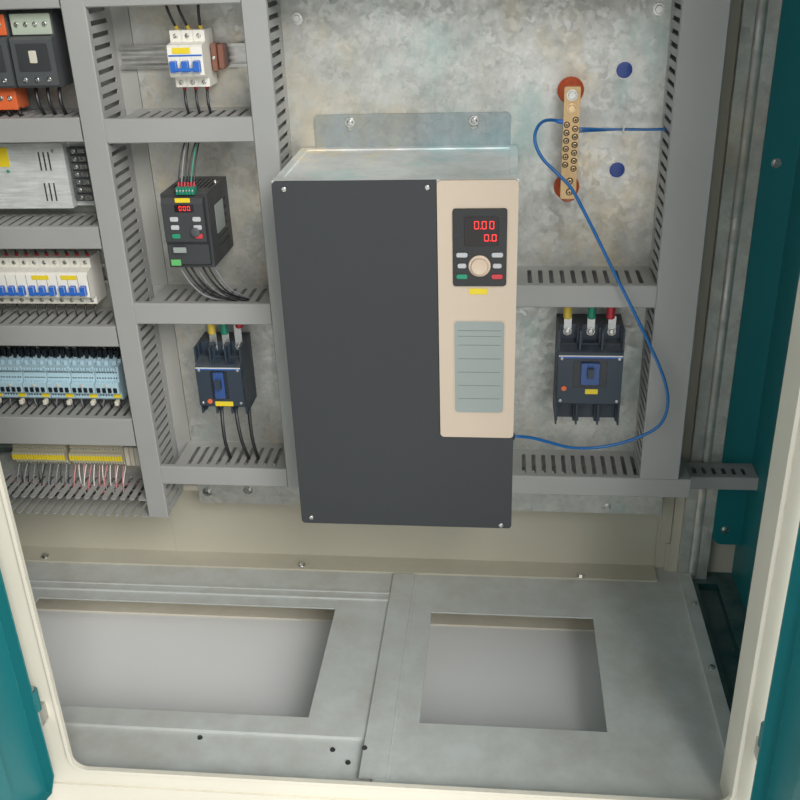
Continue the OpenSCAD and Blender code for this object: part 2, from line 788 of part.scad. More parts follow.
// Three-pole moulded-case breaker: recessed terminals at both ends, a raised front with its lever.
// The front and the lever are given as [lower edge, upper edge] and [half width, middle, half height].
module moulded_breaker(x0, x1, z0, z1, depth, front, lever) {
    y0 = plate_y - depth;
    shoulder = 22;
    recess = 14;
    rib = 3;
    toggle = [5, 8, 16];
    mid = (x0 + x1) / 2;
    pole = (x1 - x0) / 3;
    color("#3c4044") difference() {
        union() {
            box(x0, x1, y0 + shoulder, plate_y, z0, z1);
            along_x(x0 + 1, x1 - 1)
                polygon([[y0 + shoulder + eps, front[0] - 6], [y0 + 3, front[0]], [y0, front[0] + 3],
                    [y0, front[1] - 3], [y0 + 3, front[1]], [y0 + shoulder + eps, front[1] + 6]]);
            for (i = [0 : 3]) {
                x = max(x0, min(x0 + i * pole - rib / 2, x1 - rib));
                box(x, x + rib, y0 + 8, y0 + shoulder + eps, z0, z1);
            }
            box(mid - lever[0], mid + lever[0], y0 - 5, y0 + eps, lever[1] - lever[2], lever[1] + lever[2]);
            box(mid - toggle[0], mid + toggle[0], y0 - 5 - toggle[1], y0 - 5 + eps,
                lever[1] - toggle[2] / 4, lever[1] + toggle[2] * 3 / 4);
        }
        for (i = [0 : 2], z = [[z0 - 1, front[0] - 8], [front[1] + 8, z1 + 1]])
            box(x0 + i * pole + 5, x0 + (i + 1) * pole - 5, y0 + shoulder - 1, y0 + shoulder + recess,
                z[0], z[1]);
    }
}

module breaker_left() { moulded_breaker(-188, -106, 508, 634, 80, [525, 605], [9, 568, 24]); }
module breaker_right() { moulded_breaker(430, 537, 500, 672, 84, [541, 636], [15, 600, 19]); }

// One pole of a rail-mounted breaker: two terminal steps, the nose between them and its lever
module pole(x, z) {
    y0 = plate_y - 72;
    y1 = rail_front - 0.2;
    step = y0 + 22;
    along_x(x, x + pole_w)
        polygon([[y1, z - 40], [step, z - 40], [step, z - 26], [y0 + 3, z - 23], [y0, z - 20],
            [y0, z + 20], [y0 + 3, z + 23], [step, z + 26], [step, z + 42], [y1, z + 42]]);
    box(x + 4, x + pole_w - 4, y0 - 9, y0 + eps, z - 15, z + 1);
}

module pole_group(x, z, n) {
    for (i = [0 : n - 1]) pole(x + pole_pitch * i, z);
}

module breaker_top() {
    color("#e4e6e4") pole_group(-166, top_rail_z, 3);
}

module breaker_row() {
    group = 3 * pole_pitch;
    color("#e4e6e4") for (i = [1 : 6]) pole_group(row_x1 - 38 - group * i, row2_z, 3);
}

// Contactors: flat dark body, the paler terminal block above it set back
module contactor_row() {
    w = 66;
    pitch = 71;
    y0 = plate_y - 88;
    y1 = rail_front - 0.2;
    z = row0_z;
    color("#4a4d50") for (i = [0 : 4]) {
        x = row_x1 - 19 - w - pitch * i;
        along_x(x, x + w)
            polygon([[y1, z - 54], [y0 + 4, z - 54], [y0, z - 50], [y0, z + 15], [y0 + 4, z + 19],
                [y0 + 14, z + 19], [y0 + 14, z + 50], [y0 + 20, z + 55], [y1, z + 55]]);
    }
}

// Power supply: folded case with air slits, its terminals in a step at the right end
module power_supply() {
    x0 = -560;
    x1 = row_x1 - 4;
    z0 = 872;
    z1 = 978;
    y0 = plate_y - 50;
    end_w = 46;
    end_d = 18;
    slit = [3, 1.5, 30];
    slit_x = x1 - end_w - 44;
    color("#c4c6c4") difference() {
        box(x0, x1, y0, plate_y, z0, z1);
        box(x1 - end_w, x1 + 1, y0 - 1, y0 + end_d, z0 - 1, z1 + 1);
        for (i = [0 : 2], z = [z0 + 12, z1 - 44])
            box(slit_x + i * 8, slit_x + i * 8 + slit[0], y0 - 1, y0 + slit[1], z, z + slit[2]);
    }
}

// Relay sockets: lower terminal step, the relays' row as the nose, and the toothed upper terminals
module relay_row() {
    w = 43;
    pitch = 44.5;
    teeth = 3;
    y0 = plate_y - 74;
    y1 = rail_front - 0.2;
    z = row3_z;
    color("#bcd9dd") for (i = [0 : 7]) {
        x = row_x1 - 17 - w - pitch * i;
        along_x(x, x + w)
            polygon([[y1, z - 40], [y0 + 14, z - 40], [y0 + 10, z - 36], [y0 + 10, z - 24], [y0, z - 22],
                [y0, z - 4], [y0 + 8, z - 2], [y0 + 12, z + 24], [y0 + 26, z + 26], [y0 + 30, z + 32],
                [y1, z + 32]]);
        for (k = [0 : teeth - 1])
            along_x(x + 2 + k * w / teeth, x + 9 + k * w / teeth)
                polygon([[y0 + 34, z + 32 - eps], [y0 + 18, z + 25], [y0 + 20, z + 32], [y0 + 34, z + 40],
                    [y0 + 44, z + 40], [y0 + 44, z + 32 - eps]]);
    }
}

// Terminal blocks: each row of thin slices is one stepped profile with its marker strip on top
module terminal_row() {
    slice = 5.2;
    n = 20;
    pitch = 112;
    y0 = plate_y - 46;
    y1 = rail_front - 0.2;
    z = row4_z;
    color("#c9c4a2") for (k = [0 : 1]) {
        x0 = row_x1 - 262 + pitch * k;
        along_x(x0, x0 + n * slice - 0.5)
            polygon([[y1, z - 22], [y0 + 14, z - 22], [y0 + 8, z - 16], [y0 + 8, z - 9], [y0, z - 7],
                [y0, z + 9], [y0 + 8, z + 11], [y0 + 8, z + 18], [y0 + 14, z + 24], [y1, z + 24]]);
    }
}

module neutral_bar() {
    color("#c9a24a")
        round_plate(bar_x - bar_w / 2, bar_x + bar_w / 2, bar_y, bar_y + bar_t, bar_z0, bar_z1, 3);
}

module insulators() {
    h = plate_y - bar_y - bar_t - 0.2;
    color("#d9572b") for (z = [bar_z0 + 8, bar_z1 - 12])
        translate([bar_x, plate_y, z]) rotate([90, 0, 0])
            rotate_extrude($fn = 48)
                polygon([[0, 0], [20, 0], [20, 5], [17, 8], [18.5, 14], [15.5, 18], [17, 24],
                    [14, 28], [15, h - 3], [13, h], [0, h]]);
}

// Blue neutral lead: from the bar down round the wide duct's front and back to the drive's side
lead_r = 2.5;
lead_sides = 8;
lead_steps = 2;
lead_points = [
    [424.7, 187, 999], [415, 186, 1001], [405, 181, 1003], [395, 171, 1003], [387, 160, 998],
    [382, 151, 986], [385, 145, 970], [396, 141, 952], [415, 137, 934], [438, 133, 911],
    [462, 129, 870], [486, 126, 825], [506, 123, 787], [526, 120, 750], [549, 117, 707],
    [571, 114, 664], [587, 112, 632], [599, 111, 602], [606, 111, 570], [603, 111, 540],
    [590, 111, 519], [560, 109, 502], [524, 105, 491], [487, 100, 487], [450, 92, 492],
    [418, 82, 506], [394, 72, 518], [376, 62, 526], [366, 56, 530], [358, 56, 530]
];

function spline(a, b, c, d, t) = 0.5 * (2 * b + (c - a) * t + (2 * a - 5 * b + 4 * c - d) * t * t
    + (3 * b - a - 3 * c + d) * t * t * t);

function rounded(points, steps) = let (last = len(points) - 1) [
    for (i = [0 : last - 1], k = [0 : steps - 1])
        spline(points[max(i - 1, 0)], points[i], points[i + 1], points[min(i + 2, last)], k / steps),
    points[last]
];

// A tube along a path that never runs along Y
module tube(path, r, sides) {
    last = len(path) - 1;
    ring = [for (i = [0 : last])
        let (t = path[min(i + 1, last)] - path[max(i - 1, 0)], u = t / norm(t),
            a = cross(u, [0, 1, 0]), v = a / norm(a), w = cross(u, v))
        for (k = [0 : sides - 1]) path[i] + r * (cos(360 * k / sides) * v + sin(360 * k / sides) * w)];
    side = [for (i = [0 : last - 1], k = [0 : sides - 1])
        let (a = i * sides + k, b = i * sides + (k + 1) % sides, c = a + sides, d = b + sides)
        each [[a, b, d], [a, d, c]]];
    start = [for (k = [0 : sides - 1]) sides - 1 - k];
    end = [for (k = [0 : sides - 1]) last * sides + k];
    polyhedron(ring, concat(side, [start, end]), convexity = 6);
}

module blue_lead() {
    color("#1f5fc0") tube(rounded(lead_points, lead_steps), lead_r, lead_sides);
}

plinth();
floor_plate();
floor_beam();
floor_gutter();
back_wall();
side_wall_left();
side_wall_right();
roof();
front_frame();
fixed_panel();
door_left();
door_right();
door_handle();
hinges_left();
hinges_right();
plate_rails();
plate_main();
plate_left();
joint_strip();
corner_rail();
duct_v1();
duct_v2();
duct_v3();
ducts_left();
ducts_middle();
ducts_right();
duct_open();
din_rails();
drive_chassis();
drive_cover();
drive_strip();
drive_keypad();
drive_flange();
small_drive();
breaker_left();
breaker_right();
breaker_top();
contactor_row();
power_supply();
breaker_row();
relay_row();
terminal_row();
neutral_bar();
insulators();
blue_lead();
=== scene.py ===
import json
import math
import random

import bmesh
import bpy
from mathutils import Matrix, Vector


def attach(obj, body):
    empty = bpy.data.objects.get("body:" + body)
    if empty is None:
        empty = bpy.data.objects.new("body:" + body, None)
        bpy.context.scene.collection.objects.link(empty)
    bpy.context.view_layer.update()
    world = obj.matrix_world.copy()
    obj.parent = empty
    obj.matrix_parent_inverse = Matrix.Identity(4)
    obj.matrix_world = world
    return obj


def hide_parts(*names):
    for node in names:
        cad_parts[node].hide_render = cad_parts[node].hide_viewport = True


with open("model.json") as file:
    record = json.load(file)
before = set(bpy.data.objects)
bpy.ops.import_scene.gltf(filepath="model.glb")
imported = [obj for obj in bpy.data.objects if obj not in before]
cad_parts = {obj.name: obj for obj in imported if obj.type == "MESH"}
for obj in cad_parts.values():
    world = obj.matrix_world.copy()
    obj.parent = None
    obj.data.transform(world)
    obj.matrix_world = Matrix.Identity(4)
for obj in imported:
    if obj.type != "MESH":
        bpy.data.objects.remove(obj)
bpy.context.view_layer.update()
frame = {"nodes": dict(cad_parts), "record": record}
random.seed(11)

# Sizes and places are in millimetres in the CAD frame; meshes are scaled to metres as they are made.
MM = 0.001
CABINET = "cabinet"
OUT = (0, -1, 0)
BACK = (0, 1, 0)
UP = (0, 0, 1)

# Camera: the photograph's viewpoint, fitted to the cabinet's straight edges

CAMERA_PLACE = (0.3352, -1.3213, 1.2715)
CAMERA_PITCH = math.radians(-26.11)
CAMERA_YAW = math.radians(-6.53)
CAMERA_ROLL = math.radians(-2.05)
FOCAL_PX = 966.3
IMAGE_PX = 800
SENSOR_MM = 36


def make_camera():
    data = bpy.data.cameras.new("camera")
    data.sensor_width = SENSOR_MM
    data.lens = FOCAL_PX / IMAGE_PX * SENSOR_MM
    data.clip_start = 0.05
    camera = bpy.data.objects.new("camera", data)
    bpy.context.scene.collection.objects.link(camera)
    flat = math.cos(CAMERA_PITCH)
    forward = Vector((math.sin(CAMERA_YAW) * flat, math.cos(CAMERA_YAW) * flat, math.sin(CAMERA_PITCH)))
    level = forward.cross(Vector(UP)).normalized()
    upright = level.cross(forward)
    right = math.cos(CAMERA_ROLL) * level + math.sin(CAMERA_ROLL) * upright
    up = math.cos(CAMERA_ROLL) * upright - math.sin(CAMERA_ROLL) * level
    turn = Matrix((right, up, -forward)).transposed()
    camera.matrix_world = Matrix.Translation(Vector(CAMERA_PLACE)) @ turn.to_4x4()
    bpy.context.scene.camera = camera


# Materials

BEVEL_SAMPLES = 4
DUST = (0.42, 0.40, 0.35, 1)
ZINC_STAIN = (0.30, 0.29, 0.25, 1)


class Finish:
    """One procedural material. Its textures use object coordinates, in metres."""

    def __init__(self, name, colour, roughness, metallic=0.0):
        self.colour = (*colour, 1)
        self.material = bpy.data.materials.new(name)
        self.material.use_nodes = True
        self.tree = self.material.node_tree
        self.shader = self.tree.nodes["Principled BSDF"]
        self.shader.inputs["Base Color"].default_value = self.colour
        self.shader.inputs["Roughness"].default_value = roughness
        self.shader.inputs["Metallic"].default_value = metallic
        self.place = self.node("ShaderNodeTexCoord").outputs["Object"]
        self.normal = None

    def node(self, kind, **inputs):
        made = self.tree.nodes.new(kind)
        for name, value in inputs.items():
            self.feed(made.inputs[name.replace("_", " ")], value)
        return made

    def feed(self, socket, value):
        if isinstance(value, bpy.types.NodeSocket):
            self.tree.links.new(value, socket)
        else:
            socket.default_value = value

    def stretched(self, factors):
        mapping = self.node("ShaderNodeMapping", Vector=self.place)
        mapping.inputs["Scale"].default_value = factors
        return mapping.outputs["Vector"]

    def noise(self, scale, detail, roughness=0.55, factors=None):
        source = self.stretched(factors) if factors else self.place
        made = self.node("ShaderNodeTexNoise", Vector=source, Scale=scale, Detail=detail)
        made.inputs["Roughness"].default_value = roughness
        return made.outputs["Fac"]

    def cells(self, scale, warp_scale, warp):
        """Crystals with ragged borders: two random numbers from 0 to 1 for each."""
        shift = self.node("ShaderNodeTexNoise", Vector=self.place, Scale=warp_scale, Detail=4.0)
        moved = self.node("ShaderNodeVectorMath")
        moved.operation = "MULTIPLY_ADD"
        self.feed(moved.inputs[0], shift.outputs["Color"])
        moved.inputs[1].default_value = (warp, warp, warp)
        self.feed(moved.inputs[2], self.place)
        made = self.node("ShaderNodeTexVoronoi", Vector=moved.outputs["Vector"], Scale=scale)
        parts = self.node("ShaderNodeSeparateColor", Color=made.outputs["Color"])
        return parts.outputs["Red"], parts.outputs["Green"]

    def spread(self, value, low, high, start=0.3, end=0.7):
        made = self.node("ShaderNodeMapRange", Value=value)
        made.inputs["From Min"].default_value = start
        made.inputs["From Max"].default_value = end
        made.inputs["To Min"].default_value = low
        made.inputs["To Max"].default_value = high
        return made.outputs["Result"]

    def combine(self, operation, first, second):
        made = self.node("ShaderNodeMath")
        made.operation = operation
        self.feed(made.inputs[0], first)
        self.feed(made.inputs[1], second)
        return made.outputs["Value"]

    def blend(self, factor, first, second):
        made = self.tree.nodes.new("ShaderNodeMix")
        made.data_type = "RGBA"
        self.feed(made.inputs[0], factor)
        # The colour sockets of a Mix node come after its number and vector ones
        self.feed(made.inputs[6], first)
        self.feed(made.inputs[7], second)
        return made.outputs[2]

    def upward(self):
        """1 on faces that look up, 0 on the others."""
        normal = self.node("ShaderNodeNewGeometry").outputs["Normal"]
        parts = self.node("ShaderNodeSeparateXYZ", Vector=normal)
        return self.spread(parts.outputs["Z"], 0.0, 1.0, 0.5, 0.95)

    def soft_normal(self, radius):
        bevel = self.node("ShaderNodeBevel", Radius=radius)
        bevel.samples = BEVEL_SAMPLES
        return bevel.outputs["Normal"]

    def edges(self, radius):
        """1 close to a sharp edge, 0 away from it."""
        soft = self.soft_normal(radius)
        dot = self.node("ShaderNodeVectorMath")
        dot.operation = "DOT_PRODUCT"
        self.feed(dot.inputs[0], soft)
        self.feed(dot.inputs[1], self.node("ShaderNodeNewGeometry").outputs["Normal"])
        return self.spread(dot.outputs["Value"], 1.0, 0.0, 0.9, 0.995)

    def rounded(self, radius):
        self.normal = self.soft_normal(radius)

    def bump(self, height, strength, distance):
        made = self.node("ShaderNodeBump", Height=height, Strength=strength, Distance=distance)
        if self.normal is not None:
            self.feed(made.inputs["Normal"], self.normal)
        self.normal = made.outputs["Normal"]

    def done(self, base=None, roughness=None, emission=None):
        if base is not None:
            self.feed(self.shader.inputs["Base Color"], base)
        if roughness is not None:
            self.feed(self.shader.inputs["Roughness"], roughness)
        if emission is not None:
            self.feed(self.shader.inputs["Emission Color"], emission)
        if self.normal is not None:
            self.feed(self.shader.inputs["Normal"], self.normal)
        return self.material


def shade(colour, factor):
    return tuple(min(1.0, c * factor) for c in colour[:3]) + (1,)


def powder_coat(name, colour, roughness=0.42, dust=0.25, grain=0.25, worn=None):
    """Sprayed and baked paint: orange peel, faint clouds, dust on top and worn edges."""
    f = Finish(name, colour, roughness)
    clouds = f.spread(f.noise(2.2, 4.0), 0.0, 1.0)
    base = f.blend(clouds, shade(f.colour, 0.93), shade(f.colour, 1.06))
    specks = f.spread(f.noise(900.0, 1.0), 0.0, 0.12, 0.45, 0.75)
    base = f.blend(specks, base, shade(f.colour, 1.45))
    settled = f.combine("MULTIPLY", f.upward(), f.spread(f.noise(14.0, 6.0, 0.65), 0.0, dust, 0.35, 0.75))
    base = f.blend(settled, base, DUST)
    if worn:
        rubbed = f.combine("MULTIPLY", f.edges(0.0015), f.spread(f.noise(60.0, 4.0), 0.0, 0.8, 0.45, 0.7))
        base = f.blend(rubbed, base, (*worn, 1))
    rough = f.spread(f.noise(9.0, 4.0), roughness - 0.03, roughness + 0.05)
    f.rounded(0.0008)
    f.bump(f.noise(380.0, 2.0), grain, 0.00025)
    return f.done(base, rough)


def galvanised(name, colour, cell, contrast, roughness=0.46):
    """Zinc-coated sheet: feathered crystals that differ in brightness and gloss, with stains."""
    f = Finish(name, colour, roughness, 0.72)
    bright, gloss = f.cells(cell, 70.0, 0.030)
    fine, _ = f.cells(cell * 2.6, 190.0, 0.016)
    frost = f.spread(f.noise(34.0, 7.0, 0.72), 0.0, 1.0, 0.36, 0.64)
    base = f.blend(bright, shade(f.colour, 1 - contrast), shade(f.colour, 1 + contrast * 0.6))
    base = f.blend(f.spread(fine, 0.0, 0.30, 0.2, 1.0), base, shade(f.colour, 0.80))
    base = f.blend(f.combine("MULTIPLY", frost, 0.7), base, shade(f.colour, 1.25))
    tints = f.noise(6.0, 6.0, 0.7, factors=(1.2, 1, 0.8))
    red, green, blue = colour
    base = f.blend(f.spread(tints, 0.0, 0.6, 0.53, 0.68), base, (red * 1.30, green * 1.08, blue * 0.76, 1))
    base = f.blend(f.spread(tints, 0.7, 0.0, 0.32, 0.47), base, (red * 0.68, green * 0.90, blue * 0.92, 1))
    stains = f.spread(f.noise(4.5, 5.0, 0.6), 0.0, 0.55, 0.42, 0.72)
    base = f.blend(stains, base, ZINC_STAIN)
    duller = f.spread(stains, roughness, roughness + 0.2, 0.0, 0.5)
    rough = f.combine("ADD", f.spread(gloss, -0.10, 0.16, 0.0, 1.0), duller)
    f.bump(f.spread(bright, 0.0, 1.0, 0.0, 1.0), 0.05, 0.0002)
    f.bump(f.noise(700.0, 2.0), 0.08, 0.0001)
    return f.done(base, rough)


def bright_metal(name, colour, roughness=0.32, metallic=1.0, brush=(1, 1, 1), tarnish=None):
    """Plated or drawn metal: fine lines along the brushed way, duller patches."""
    f = Finish(name, colour, roughness, metallic)
    lines = f.noise(260.0, 3.0, 0.6, brush)
    base = f.blend(f.spread(lines, 0.0, 1.0), shade(f.colour, 0.82), shade(f.colour, 1.1))
    patches = f.spread(f.noise(45.0, 4.0), 0.0, 0.5, 0.45, 0.75)
    base = f.blend(patches, base, (*(tarnish or [c * 0.55 for c in colour]), 1))
    rough = f.spread(lines, roughness - 0.08, roughness + 0.16)
    f.rounded(0.0004)
    f.bump(lines, 0.12, 0.00008)
    return f.done(base, rough)


def plastic(name, colour, roughness, grain=0.2, grain_scale=650.0, dust=0.2, uneven=0.05):
    """Moulded plastic: eroded grain, slight unevenness, dust on what faces up."""
    f = Finish(name, colour, roughness)
    clouds = f.spread(f.noise(5.0, 4.0), 0.0, 1.0)
    base = f.blend(clouds, shade(f.colour, 1 - uneven), shade(f.colour, 1 + uneven))
    settled = f.combine("MULTIPLY", f.upward(), f.spread(f.noise(22.0, 5.0, 0.6), 0.0, dust, 0.35, 0.75))
    base = f.blend(settled, base, DUST)
    rough = f.spread(f.noise(16.0, 4.0), roughness - 0.07, roughness + 0.1)
    f.rounded(0.0005)
    f.bump(f.noise(grain_scale, 2.0), grain, 0.00012)
    return f.done(base, rough)


def glowing(name, colour, strength):
    """A lit segment of a display."""
    f = Finish(name, colour, 0.3)
    f.shader.inputs["Emission Strength"].default_value = strength
    lit = f.blend(f.spread(f.noise(900.0, 2.0), 0.0, 1.0), shade(f.colour, 0.8), f.colour)
    return f.done(emission=lit)


TEAL = (0.009, 0.165, 0.180)
CREAM = (0.77, 0.72, 0.60)
BEIGE = (0.55, 0.52, 0.42)

FINISHES = {}


def finish(builder, name, *values, slot=None, **named):
    """Makes a material. The slot argument names the record's slot that it is nearest to; it is not used.
    """
    FINISHES[name] = builder(name, *values, **named)


finish(powder_coat, "frame_paint", CREAM, 0.40, 0.3, worn=(0.50, 0.42, 0.30))
finish(powder_coat, "floor_paint", (0.56, 0.585, 0.56), 0.46, 0.75, worn=(0.32, 0.31, 0.28))
# inner_teal is the teal paint darkened: painted shade on the cabinet's unlit inner faces
finish(powder_coat, "inner_teal", (0.018, 0.075, 0.075), 0.45, 0.3)
finish(powder_coat, "beige_paint", BEIGE, 0.45, 0.4)
finish(powder_coat, "teal_paint", TEAL, 0.40, 0.07, 0.35, worn=(0.10, 0.30, 0.28))
finish(plastic, "handle_black", (0.022, 0.023, 0.024), 0.42)
finish(bright_metal, "hinge_zinc", (0.56, 0.57, 0.56), 0.38)
finish(galvanised, "galvanised", (0.57, 0.575, 0.54), 110.0, 0.13)
finish(powder_coat, "strip_grey", (0.36, 0.36, 0.33), 0.45, 0.3)
finish(galvanised, "rail_zinc", (0.68, 0.67, 0.62), 40.0, 0.12, roughness=0.5)
finish(plastic, "duct_grey", (0.37, 0.37, 0.355), 0.48, 0.12, dust=0.35, uneven=0.04)
finish(bright_metal, "rail_bright", (0.60, 0.60, 0.57), 0.34, brush=(0.05, 1, 1))
# drive_metal is lightened: painted light on the housing's up-facing top
finish(galvanised, "drive_metal", (0.93, 0.95, 0.94), 90.0, 0.07, roughness=0.5)
finish(powder_coat, "drive_dark", (0.034, 0.037, 0.041), 0.5, 0.1, 0.55)
finish(plastic, "drive_pale", (0.66, 0.54, 0.42), 0.42, 0.12, uneven=0.03)
finish(plastic, "keypad_black", (0.020, 0.021, 0.023), 0.22, 0.03, dust=0.1)
finish(plastic, "small_drive_grey", (0.045, 0.047, 0.050), 0.5, 0.35, dust=0.3)
finish(plastic, "breaker_grey", (0.028, 0.044, 0.064), 0.42, 0.25, dust=0.3)
finish(plastic, "breaker_white", (0.90, 0.87, 0.78), 0.35, 0.1, dust=0.2)
finish(plastic, "contactor_grey", (0.085, 0.092, 0.095), 0.48, 0.25, dust=0.3)
finish(bright_metal, "supply_steel", (0.78, 0.80, 0.78), 0.5, 0.35, (0.08, 1, 1), (0.55, 0.56, 0.53))
finish(plastic, "relay_cyan", (0.46, 0.64, 0.72), 0.4, 0.15, dust=0.2)
finish(plastic, "terminal_grey", (0.56, 0.52, 0.38), 0.45, 0.2, dust=0.2)
finish(bright_metal, "brass_bar", (0.60, 0.42, 0.22), 0.40, 0.8, (1, 1, 0.05), (0.42, 0.28, 0.14))
finish(plastic, "insulator_orange", (0.62, 0.105, 0.030), 0.22, 0.06, 300.0)
finish(plastic, "lead_blue", (0.012, 0.145, 0.420), 0.34, 0.08, dust=0.1)

# Finishes of small pieces
finish(bright_metal, "screw_steel", (0.66, 0.66, 0.63), 0.26, slot="hinge_zinc")
finish(plastic, "wire_black", (0.018, 0.019, 0.021), 0.4, 0.08, slot="handle_black")
finish(plastic, "wire_red", (0.50, 0.030, 0.045), 0.38, 0.08, slot="insulator_orange")
finish(plastic, "wire_green", (0.020, 0.270, 0.170), 0.38, 0.08, slot="teal_paint")
finish(plastic, "wire_yellow", (0.78, 0.56, 0.08), 0.38, 0.08, slot="terminal_grey")
finish(plastic, "wire_white", (0.72, 0.71, 0.67), 0.38, 0.08, slot="breaker_white")
finish(plastic, "wire_grey", (0.26, 0.27, 0.28), 0.4, 0.08, slot="duct_grey")
finish(plastic, "tag_yellow", (0.86, 0.66, 0.03), 0.4, 0.05, slot="terminal_grey")
finish(plastic, "lever_blue", (0.030, 0.150, 0.560), 0.34, 0.08, slot="lead_blue")
finish(plastic, "label_grey", (0.33, 0.37, 0.35), 0.5, 0.05, slot="duct_grey")
finish(plastic, "label_line", (0.20, 0.23, 0.22), 0.5, 0.05, slot="duct_grey")
finish(plastic, "button_grey", (0.55, 0.56, 0.57), 0.4, 0.08, slot="breaker_white")
finish(plastic, "button_green", (0.020, 0.300, 0.160), 0.4, 0.08, slot="teal_paint")
finish(plastic, "button_red", (0.640, 0.050, 0.065), 0.4, 0.08, slot="insulator_orange")
finish(glowing, "digit_red", (1.0, 0.035, 0.030), 1.5, slot="insulator_orange")
finish(plastic, "window_dark", (0.012, 0.006, 0.008), 0.12, 0.0, slot="keypad_black")
finish(plastic, "rocker_blue", (0.030, 0.085, 0.270), 0.28, 0.06, slot="lead_blue")
finish(plastic, "wire_pink", (0.66, 0.230, 0.250), 0.38, 0.08, slot="insulator_orange")
finish(plastic, "patch_green", (0.130, 0.500, 0.150), 0.4, 0.05, slot="teal_paint")
# A darker copy of drive_metal: painted shade on the drive's flange
finish(galvanised, "flange_zinc_painted_shade", (0.33, 0.37, 0.38), 90.0, 0.08, roughness=0.42, slot="drive_metal")
finish(plastic, "cover_black", (0.014, 0.018, 0.024), 0.25, 0.05, slot="keypad_black")
# Painted shade: a near-black finish for the insides of slits, holes and wells
finish(plastic, "painted_hollow_shade", (0.030, 0.030, 0.030), 0.6, 0.1, slot="handle_black")
finish(plastic, "sticker_blue", (0.035, 0.075, 0.300), 0.35, 0.04, slot="lead_blue")
finish(plastic, "cream_plastic", (0.70, 0.66, 0.55), 0.4, 0.1, slot="breaker_white")
finish(plastic, "knob_peach", (0.72, 0.57, 0.43), 0.4, 0.1, slot="drive_pale")
finish(plastic, "cream_green", (0.48, 0.54, 0.44), 0.4, 0.1, slot="terminal_grey")
finish(plastic, "end_orange", (0.80, 0.160, 0.050), 0.4, 0.1, slot="insulator_orange")
finish(plastic, "end_brown", (0.24, 0.105, 0.070), 0.45, 0.1, slot="insulator_orange")
finish(bright_metal, "ring_brass", (0.74, 0.55, 0.32), 0.3, slot="brass_bar")

# Mesh tools


def smooth_path(points, steps=4):
    """The Catmull-Rom curve through the points, as part.scad rounds the lead's route."""
    points = [Vector(p) for p in points]
    last = len(points) - 1
    path = []
    for i in range(last):
        a, b = points[max(i - 1, 0)], points[i]
        c, d = points[i + 1], points[min(i + 2, last)]
        for k in range(steps):
            t = k / steps
            path.append(0.5 * (2 * b + (c - a) * t + (2 * a - 5 * b + 4 * c - d) * t * t
                               + (3 * b - a - 3 * c + d) * t * t * t))
    return path + [points[last]]


SEATED = 0.1
SHARP_ANGLE = math.radians(38)


